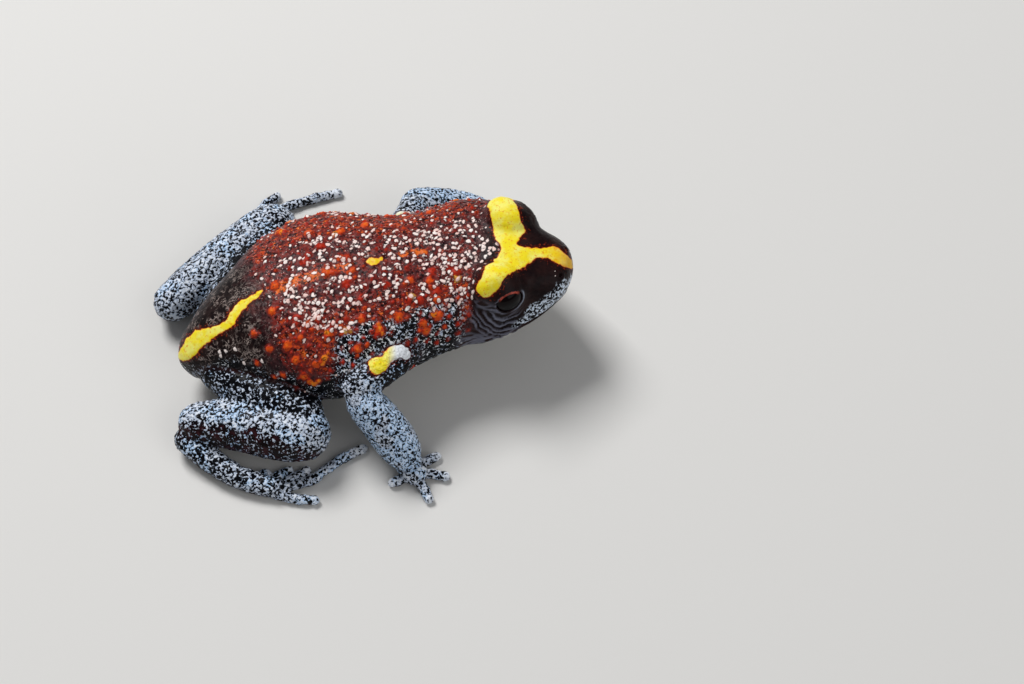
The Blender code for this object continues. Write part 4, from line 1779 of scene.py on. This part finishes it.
@dataclass(frozen=True)
class SkinFinish:
    """Moist toad skin: dark, mottled brick and orange, with white specks and yellow marks."""

    umber: Colour = linear(90, 47, 47)
    plum: Colour = linear(56, 24, 29)
    brick: Colour = linear(126, 42, 36)
    rust: Colour = linear(196, 72, 32)
    ember: Colour = linear(228, 108, 38)
    pit: Colour = linear(20, 9, 12)
    chalk: Colour = linear(252, 243, 238)
    rose: Colour = linear(238, 199, 190)
    black: Colour = linear(6, 7, 12)
    frost: Colour = linear(192, 205, 226)
    ice: Colour = linear(212, 224, 240)
    pearl: Colour = linear(236, 240, 246)
    sky: Colour = linear(184, 216, 252)
    soot: Colour = linear(34, 18, 17)
    night: Colour = linear(17, 8, 10)
    ivory: Colour = linear(208, 206, 200)
    yellow: Colour = linear(245, 224, 40)
    lemon: Colour = linear(244, 240, 122)
    amber: Colour = linear(232, 150, 28)
    wine: Colour = linear(66, 12, 9)
    # Painted highlight colour for the crests of the folds.
    crest_highlight: Colour = linear(122, 124, 140)
    bark: Colour = linear(38, 25, 24)
    drift: Colour = linear(168, 152, 145)
    wart_tones: tuple[tuple[float, Colour], ...] = (
        (0.0, linear(176, 42, 24)),
        (0.4, linear(220, 84, 28)),
        (0.7, linear(236, 146, 38)),
        (1.0, linear(240, 214, 130)),
    )
    gloss: float = 0.09
    roughness: Pair = (0.24, 0.46)

    def build(self) -> Material:
        """Makes the material.

        Returns:
            The material.
        """
        paint = Paint("toad_skin")
        net = self.net(paint)
        body = self.back(paint)
        body = self.head_and_rump(paint, body)
        body = self.limbs(paint, body, net)
        body = self.spots(paint, body)
        body = self.marks(paint, body)
        return paint.finish({
            "Base Color": body,
            "Roughness": paint.scaled(paint.noise(1400, 3.0), *self.roughness),
            "Specular IOR Level": self.gloss,
            "Normal": self.relief(paint, net),
        })

    def back(self, paint: Paint) -> Socket:
        """The dark back with its brick and orange mottling.

        Args:
            paint: The material.

        Returns:
            The colour.
        """
        mottle = paint.layer("mottle")
        warm = paint.layer("hot")
        base = paint.mix(paint.grain(0.38, 0.62, 900, 3.0), self.plum, self.umber)
        push = paint.scaled(mottle, -0.3, 0.09)
        red = paint.pushed(push, 0.47, 0.59, 1700, 6.0, 0.7)
        base = paint.over(base, self.brick, red, 0.9)
        push = paint.plus(push, paint.scaled(warm, -0.04, 0.07))
        hot = paint.pushed(push, 0.60, 0.68, 2100, 5.0, 0.66)
        base = paint.over(base, self.rust, hot, 0.85)
        glow = paint.pushed(push, 0.69, 0.76, 2600, 4.0, 0.6)
        base = paint.over(base, self.ember, glow)
        line = paint.plus(paint.noise(2300, 4.0, 0.65), paint.scaled(paint.layer("streak"), -0.3, 0.13))
        base = paint.over(base, self.rust, paint.step(line, 0.48, 0.56))
        base = paint.over(base, self.ember, paint.step(line, 0.56, 0.64))
        pits = paint.grain(0.49, 0.43, 4000, 3.0, 0.64)
        base = paint.over(base, self.pit, pits, paint.scaled(mottle, 0.6, 0.9))
        dust = paint.grain(0.645, 0.68, 7400, 2.0, 0.6)
        return paint.over(base, self.rose, dust, mottle, 0.8)

    def head_and_rump(self, paint: Paint, base: Socket) -> Socket:
        """The plainer dark skin of head and rump, with painted highlights on the fold crests and lower lid
        fronts, and the speckled black flanks, whose pale specks thin out low down, partly as painted shade.

        Args:
            paint: The material.
            base: The colour so far.

        Returns:
            The colour with head, rump, flanks and belly in it.
        """
        away = paint.reckon("ABSOLUTE", paint.reckon("SUBTRACT", paint.noise(1900, 4.0, 0.6, 1.2), 0.5), 0.0)
        creases = paint.times(paint.step(away, 0.034, 0.008), paint.grain(0.38, 0.62, 1500, 2.0))
        rump = paint.mix(paint.grain(0.62, 0.4, 1300, 5.0, 0.65), self.bark, self.night)
        rump = paint.over(rump, self.drift, creases, 0.85)
        base = paint.over(base, rump, paint.layer("rump"))
        head = paint.mix(paint.grain(0.38, 0.68, 900, 5.0, 0.6), self.night, self.soot)
        base = paint.over(base, head, paint.layer("head"), 0.94)
        # Painted highlight on the crests of the folds.
        base = paint.over(base, self.crest_highlight, paint.layer("fold_highlight"), 0.75)
        # Painted highlight along the front of the lower lids, in frost.
        base = paint.over(base, self.frost, paint.layer("rim"), 0.6)
        patchy = paint.scaled(paint.noise(900, 2.0), 0.1, -0.1)
        # Fewer pale specks lower down: partly the flanks' own black, partly painted shade.
        patchy = paint.plus(patchy, paint.scaled(paint.layer("deep"), 0.0, -0.055))
        fine = paint.pushed(patchy, 0.545, 0.575, 5600, 2.0, 0.6, 0.5)
        grain = paint.mix(paint.grain(0.42, 0.6, 1500, 2.0), self.pearl, self.frost)
        flank = paint.mix(fine, self.black, grain)
        base = paint.over(base, flank, paint.layer("flank"))
        marble = paint.grain(0.47, 0.54, 620, 3.0, 0.5, 0.3)
        return paint.mix(paint.layer("belly"), base, paint.mix(marble, self.black, self.ivory))

    def net(self, paint: Paint) -> Socket:
        """How far inside the tangled pale network of arms and legs a place is, 0.5 at its edge.

        Args:
            paint: The material.

        Returns:
            The value.
        """
        worms = paint.noise(5000, 2.0, 0.5, 0.5)
        cover = paint.scaled(paint.layer("cover"), -0.13, 0.13)
        patches = paint.scaled(paint.noise(800, 2.0), -0.05, 0.05)
        return paint.plus(worms, cover, patches)

    def limbs(self, paint: Paint, base: object, net: object) -> Socket:
        """The pale network of arms and legs, with painted highlights on its granules and painted shade on the
        limbs' undersides, and the pale rim of the upper lip.

        Args:
            paint: The material.
            base: The colour so far.
            net: How far inside the network a place is.

        Returns:
            The colour with the limbs in it.
        """
        tint = paint.plus(paint.noise(700, 3.0), paint.scaled(paint.layer("blue"), 0.0, 0.13))
        pale = paint.mix(paint.times(paint.step(tint, 0.5, 0.62), 0.9), self.frost, self.sky)
        # Painted highlight: pearl on the tops of the pale granules, weaker on the blue forearms.
        bead_highlights = paint.times(paint.step(net, 0.54, 0.66), paint.noise(2300, 2.0), 1.3)
        bead_highlights = paint.times(bead_highlights, paint.scaled(paint.layer("blue"), 1.0, 0.6))
        pale = paint.over(pale, self.pearl, bead_highlights)
        pale = paint.over(pale, self.pearl, paint.layer("tips"), 0.4)
        rusty = paint.mix(paint.grain(0.45, 0.68, 1600, 4.0, 0.6), self.night, self.plum)
        # The brown ground is partly painted shade on the limbs' undersides.
        ground = paint.mix(paint.layer("brown"), self.black, rusty)
        pits = paint.times(paint.grain(0.42, 0.38, 7200, 2.0), paint.layer("blue"))
        skin = paint.mix(paint.step(net, 0.492, 0.518), ground, paint.mix(pits, pale, self.black))
        base = paint.over(base, skin, paint.layer("limb"))
        rim = paint.grain(0.50, 0.53, 6000, 2.0, 0.55, 0.4)
        base = paint.over(base, self.black, paint.layer("lip"), 0.85)
        return paint.over(base, self.ice, rim, paint.layer("lip"))

    def spots(self, paint: Paint, base: Socket) -> Socket:
        """Warts with their reddish rings, and the white specks.

        Args:
            paint: The material.
            base: The colour so far.

        Returns:
            The colour with warts and specks in it.
        """
        jitter = paint.scaled(paint.noise(3000, 5.0, 0.74), -0.34, 0.32)
        wart = paint.plus(paint.layer("wart"), jitter)
        base = paint.over(base, self.brick, paint.step(wart, -0.16, -0.03), 0.8)
        place = paint.plus(paint.layer("wart_tone"), paint.scaled(wart, -0.16, 0.9))
        heart = paint.shades(paint.scaled(place, 0.0, 0.88), self.wart_tones)
        base = paint.over(base, heart, paint.step(wart, -0.02, 0.06))
        pores = paint.grain(0.42, 0.34, 4600, 2.0, 0.6)
        pores = paint.times(pores, paint.step(wart, -0.2, 0.0), 0.7)
        base = paint.over(base, self.wine, pores)
        small = paint.scaled(paint.noise(6500, 2.0), -0.08, 0.08)
        fleck = paint.plus(paint.layer("fleck"), small)
        base = paint.over(base, self.pit, paint.step(fleck, -0.12, 0.0), 0.5)
        white = paint.mix(paint.layer("fleck_tone"), self.rose, self.chalk)
        return paint.over(base, white, paint.step(fleck, -0.015, 0.03))

    def marks(self, paint: Paint, base: Socket) -> Socket:
        """The yellow marks with their dark red edge and orange stipples.

        Args:
            paint: The material.
            base: The colour so far.

        Returns:
            The colour with the yellow marks in it.
        """
        jitter = paint.scaled(paint.noise(2900, 3.0, 0.6), -0.12, 0.12)
        mark = paint.plus(paint.layer("mark"), jitter)
        near = paint.step(mark, -0.24, -0.03)
        base = paint.over(base, self.wine, near, 0.85)
        rash = paint.grain(0.6, 0.66, 5600, 2.0, 0.6)
        rash = paint.times(rash, paint.step(mark, -0.5, -0.1), 0.6)
        base = paint.over(base, self.rust, rash)
        inner = paint.mix(paint.grain(0.4, 0.68, 1000, 4.0, 0.6), self.yellow, self.lemon)
        stipple = paint.grain(0.575, 0.66, 5400, 3.0, 0.65)
        inner = paint.over(inner, self.amber, stipple, 0.8)
        inner = paint.over(inner, self.amber, paint.layer("ripe"), 0.6)
        inner = paint.over(inner, self.ember, paint.step(mark, 0.09, 0.0))
        # Painted highlight: pearl on part of each arm patch.
        inner = paint.over(inner, self.pearl, paint.layer("arm_highlight"))
        return paint.over(base, inner, paint.step(mark, -0.01, 0.02))

    def relief(self, paint: Paint, net: object) -> Socket:
        """Fine pores and granules under the light.

        Args:
            paint: The material.
            net: How far inside the network of the limbs a place is.

        Returns:
            The bent normal.
        """
        grain = paint.bump(paint.noise(3400, 4.0, 0.6), 0.00007, 0.55)
        raised = paint.times(paint.step(net, 0.46, 0.62), paint.layer("limb"))
        knobs = paint.bump(raised, 0.00006, 0.8, grain)
        return paint.bump(paint.noise(9000, 2.0, 0.5), 0.000015, 0.4, knobs)


@dataclass(frozen=True)
class EyeFinish:
    """A wet dark eye with a level pupil and a copper arc along the upper lid, in the eye's own axes."""

    opening_width: float
    opening_height: float
    opening_rise: float
    pupil: Colour = linear(4, 3, 5)
    iris: Colour = linear(11, 4, 5)
    copper: Colour = linear(220, 100, 84)
    pupil_size: Pair = (0.62, 0.40)
    arc_height: Pair = (0.55, 0.85)
    arc_inside: Pair = (0.73, 0.79)
    roughness: float = 0.09
    gloss: float = 0.09

    def build(self) -> Material:
        """Makes the material.

        Returns:
            The material.
        """
        paint = Paint("toad_eye")
        parts = paint.node("ShaderNodeSeparateXYZ", {0: paint.position})
        oval = self.ellipse(paint, parts, self.pupil_size, 0.0)
        opening = self.ellipse(paint, parts, (self.opening_width, self.opening_height), self.opening_rise)
        raised = paint.step(parts.outputs["Z"], *(height * METRES for height in self.arc_height))
        upper = paint.times(paint.step(opening, *self.arc_inside), raised)
        veins = paint.grain(0.38, 0.62, 6000, 4.0, 0.6)
        iris = paint.mix(paint.times(upper, paint.scaled(veins, 0.45, 1.0)), self.iris, self.copper)
        colour = paint.mix(paint.step(oval, 1.06, 0.96), iris, self.pupil)
        return paint.finish({
            "Base Color": colour, "Roughness": self.roughness, "Specular IOR Level": self.gloss,
        })

    def ellipse(self, paint: Paint, parts: Node, size: Pair, rise: float) -> Socket:
        """How far a place lies from the middle of an upright ellipse, 1 at its edge.

        Args:
            paint: The material.
            parts: The place on the eye, split up.
            size: The ellipse's half width and half height.
            rise: How far its middle lies over the eye's.

        Returns:
            The distance.
        """
        across = paint.times(parts.outputs["Y"], 1.0 / (size[0] * METRES))
        above = paint.reckon("SUBTRACT", parts.outputs["Z"], rise * METRES)
        above = paint.times(above, 1.0 / (size[1] * METRES))
        squares = paint.plus(paint.times(across, across), paint.times(above, above))
        return paint.reckon("SQRT", squares, 0.0)


@dataclass
class Eyes:
    """The two eyeballs."""

    head: HeadForms
    bulge: float = 0.05

    def build(self) -> dict[Side, Piece]:
        """Makes both eyes, their x axes along the look."""
        return {side: self.eyeball(side) for side in Side}

    def eyeball(self, side: Side) -> Piece:
        """One eye, with the clear front standing a little forward.

        Args:
            side: Left or right.

        Returns:
            The eye.
        """
        mesh = bmesh.new()
        radius = self.head.eye_radius
        bmesh.ops.create_uvsphere(mesh, u_segments=72, v_segments=48, radius=radius * METRES)
        for vertex in mesh.verts:
            front = vertex.co.x / (radius * METRES)
            swell = float(smoothstep(0.55, 1.0, np.array(front)))
            vertex.co *= 1.0 + self.bulge * swell
        made = bake(f"eyeball_{side.name.lower()}", mesh)
        made.data.shade_smooth()
        ahead = self.head.look(side)
        left = Vector((-ahead.y, ahead.x, 0.0))
        turn = Matrix((ahead, left, Vector((0, 0, 1)))).transposed()
        made.matrix_world = Matrix.Translation(to_world(*self.head.eye_place(side))) @ turn.to_4x4()
        return made

    def dress(self, made: dict[Side, Piece]) -> None:
        """Gives both eyes their finish, and each its body and solid.

        Args:
            made: The eyes by side.
        """
        head = self.head
        rise = head.opening_height - head.eye[2]
        material = EyeFinish(head.opening_size[0], head.opening_size[2], rise).build()
        for side, eye in made.items():
            eye.data.materials.append(material)
            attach(eye, "root")
            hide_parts(f"eye_{side.name.lower()}")


@dataclass
class Skin:
    """The one skin over body, head, limbs and digits."""

    trunk: Trunk
    head: HeadForms
    limbs: tuple[Limbs, ...]
    view: PhotoView
    trunk_voxel: float = 0.11
    limb_voxel: float = 0.10
    digit_voxel: float = 0.08
    smoothings: tuple[int, int, int] = (20, 14, 4)
    floor_gap: float = 0.012
    lid_thickness: float = 0.2
    lid_rise: float = math.radians(14.0)
    lid_angles: Pair = (math.radians(78), math.radians(42))
    lid_reach: Pair = (3.4, 2.6)

    def build(self) -> Piece:
        """Melts every form together, adds the relief and paints the layers.

        Returns:
            The skin.
        """
        core = self.trunk.build()
        tree = BVHTree.FromObject(core, bpy.context.evaluated_depsgraph_get())
        skin = melt("skin", [core, self.head.lip(), *self.head.lids()], self.trunk_voxel, self.smoothings[0])
        self.close_lids(skin)
        large = [limb.build() for limbs in self.limbs for limb in limbs.large().values()]
        skin = melt("skin", [skin, *large], self.limb_voxel, self.smoothings[1])
        skin = cut(skin, self.head.sockets())
        skin = cut(skin, self.head.openings())
        small = [limb.build() for limbs in self.limbs for limb in limbs.small().values()]
        skin = melt("skin", [skin, *small], self.digit_voxel, self.smoothings[2])
        log.info("skin: %d points", len(skin.data.vertices))
        self.detail(skin, tree)
        return skin

    def close_lids(self, skin: Piece) -> None:
        """Draws the lids in until they lie close round the eyes.

        Args:
            skin: The melted skin.
        """
        points, _ = self.read(skin.data)
        for side in Side:
            centre = np.array(self.head.eye_place(side))
            look = self.head.look(side)
            axis = np.array((look.x, look.y, math.tan(self.lid_rise)))
            axis /= np.linalg.norm(axis)
            offsets = points - centre
            away = np.linalg.norm(offsets, axis=1)
            angle = np.arccos(np.clip(offsets @ axis / away, -1.0, 1.0))
            close = self.head.eye_radius + self.lid_thickness
            hold = smoothstep(*self.lid_angles, angle) * smoothstep(*self.lid_reach, away)
            share = 1.0 - hold * (1.0 - np.minimum(close / away, 1.0))
            points = centre + offsets * share[:, None]
        self.write(skin.data, points)

    def write(self, data: Mesh, points: Values) -> None:
        """Moves the mesh's points to places on the animal.

        Args:
            data: The skin's mesh.
            points: The places in millimetres.
        """
        world = (points + np.array((*FRAME_SHIFT, 0.0))) * METRES
        data.vertices.foreach_set("co", world.ravel())
        data.update()

    def read(self, data: Mesh) -> tuple[Values, Values]:
        """The mesh's points on the animal, and its normals.

        Args:
            data: The skin's mesh.

        Returns:
            The points in millimetres, and the normals.
        """
        points = np.empty(len(data.vertices) * 3)
        normals = np.empty(len(data.vertices) * 3)
        data.vertices.foreach_get("co", points)
        data.vertices.foreach_get("normal", normals)
        return to_animal(points.reshape(-1, 3)), normals.reshape(-1, 3)

    def detail(self, skin: Piece, core: BVHTree) -> None:
        """Paints the layers and moves the skin by its relief.

        Args:
            skin: The melted skin.
            core: The bare loft of torso and head, for telling trunk from limbs.
        """
        points, normals = self.read(skin.data)
        anatomy = Anatomy(self.trunk, self.head, self.limbs, self.view, points, normals, core)
        layers: Layers = {}
        tree = kdtree.KDTree(len(points))
        for index, point in enumerate(points):
            tree.insert(point, index)
        tree.balance()
        marks = Markings(anatomy, layers, tree, np.random.default_rng(SEED))
        marks.yellow()
        marks.warts()
        marks.flecks()
        marks.regions(self.head)
        for name, values in layers.items():
            layer = skin.data.attributes.new(name, "FLOAT", "POINT")
            layer.data.foreach_set("value", values.astype(np.float32))
        lift = marks.relief + SkinRelief(anatomy, self.head).build()
        moved = points + normals * lift[:, None]
        moved[:, 2] = np.maximum(moved[:, 2], self.floor_gap)
        skin.data.shade_smooth()
        self.write(skin.data, moved)

    def dress(self, skin: Piece) -> None:
        """Gives the skin its finish, its body and the solids it stands for.

        Args:
            skin: The finished skin.
        """
        skin.data.materials.clear()
        skin.data.materials.append(SkinFinish().build())
        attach(skin, "root")
        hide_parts("torso", "head", *(node for limbs in self.limbs for node in limbs.nodes()))


@dataclass(frozen=True)
class Studio:
    """A pale floor and soft light, for a thing a few centimetres long."""

    floor_size: float = 4.0
    floor_tone: Colour = (0.72, 0.71, 0.69, 1.0)
    floor_roughness: float = 0.9
    sky: float = 0.2
    sky_tone: Colour = (0.95, 0.97, 1.0, 1.0)
    key: float = 1.25
    key_place: Place = (-0.10, 0.20, 0.30)
    key_size: float = 0.14
    fill: float = 0.36
    fill_place: Place = (0.22, -0.24, 0.22)
    fill_size: float = 0.30

    def build(self) -> None:
        """Makes floor, lights and sky."""
        self.floor()
        self.lamp("key_light", self.key_place, self.key_size, self.key)
        self.lamp("fill_light", self.fill_place, self.fill_size, self.fill)
        world = bpy.data.worlds.new("studio")
        world.use_nodes = True
        back = world.node_tree.nodes["Background"]
        back.inputs["Color"].default_value = self.sky_tone
        back.inputs["Strength"].default_value = self.sky
        bpy.context.scene.world = world
        bpy.context.scene.view_settings.view_transform = "Standard"

    def floor(self) -> None:
        """Makes the floor, which isn't part of the animal."""
        mesh = bmesh.new()
        bmesh.ops.create_grid(mesh, x_segments=1, y_segments=1, size=self.floor_size / 2)
        made = bake("floor", mesh)
        finish = {"Base Color": self.floor_tone, "Roughness": self.floor_roughness}
        made.data.materials.append(Paint("floor").finish(finish))

    def lamp(self, name: str, place: Row, size: float, power: float) -> None:
        """Makes a soft square light that faces the animal.

        Args:
            name: The light's name.
            place: Where it hangs, in metres.
            size: The length of its sides, in metres.
            power: Its power in watts.
        """
        data = bpy.data.lights.new(name, "AREA")
        data.shape = "SQUARE"
        data.size = size
        data.energy = power
        made = link(name, data)
        made.location = place
        made.rotation_euler = Vector(place).to_track_quat("Z", "Y").to_euler()


def main() -> None:
    """Builds the toadlet on its solids, then the studio."""
    logging.basicConfig(level=logging.INFO, format="%(name)s: %(message)s")
    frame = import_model()
    log.info("frame: %d solids", len(frame["nodes"]))
    view = PhotoView()
    view.build()
    trunk = Trunk()
    head = HeadForms(trunk)
    skin = Skin(trunk, head, (RIGHT_LIMBS, LEFT_LIMBS), view)
    skin.dress(skin.build())
    log.info("skin is on")
    eyes = Eyes(head)
    eyes.dress(eyes.build())
    log.info("eyes are in")
    Studio().build()


if __name__ == "__main__":
    main()
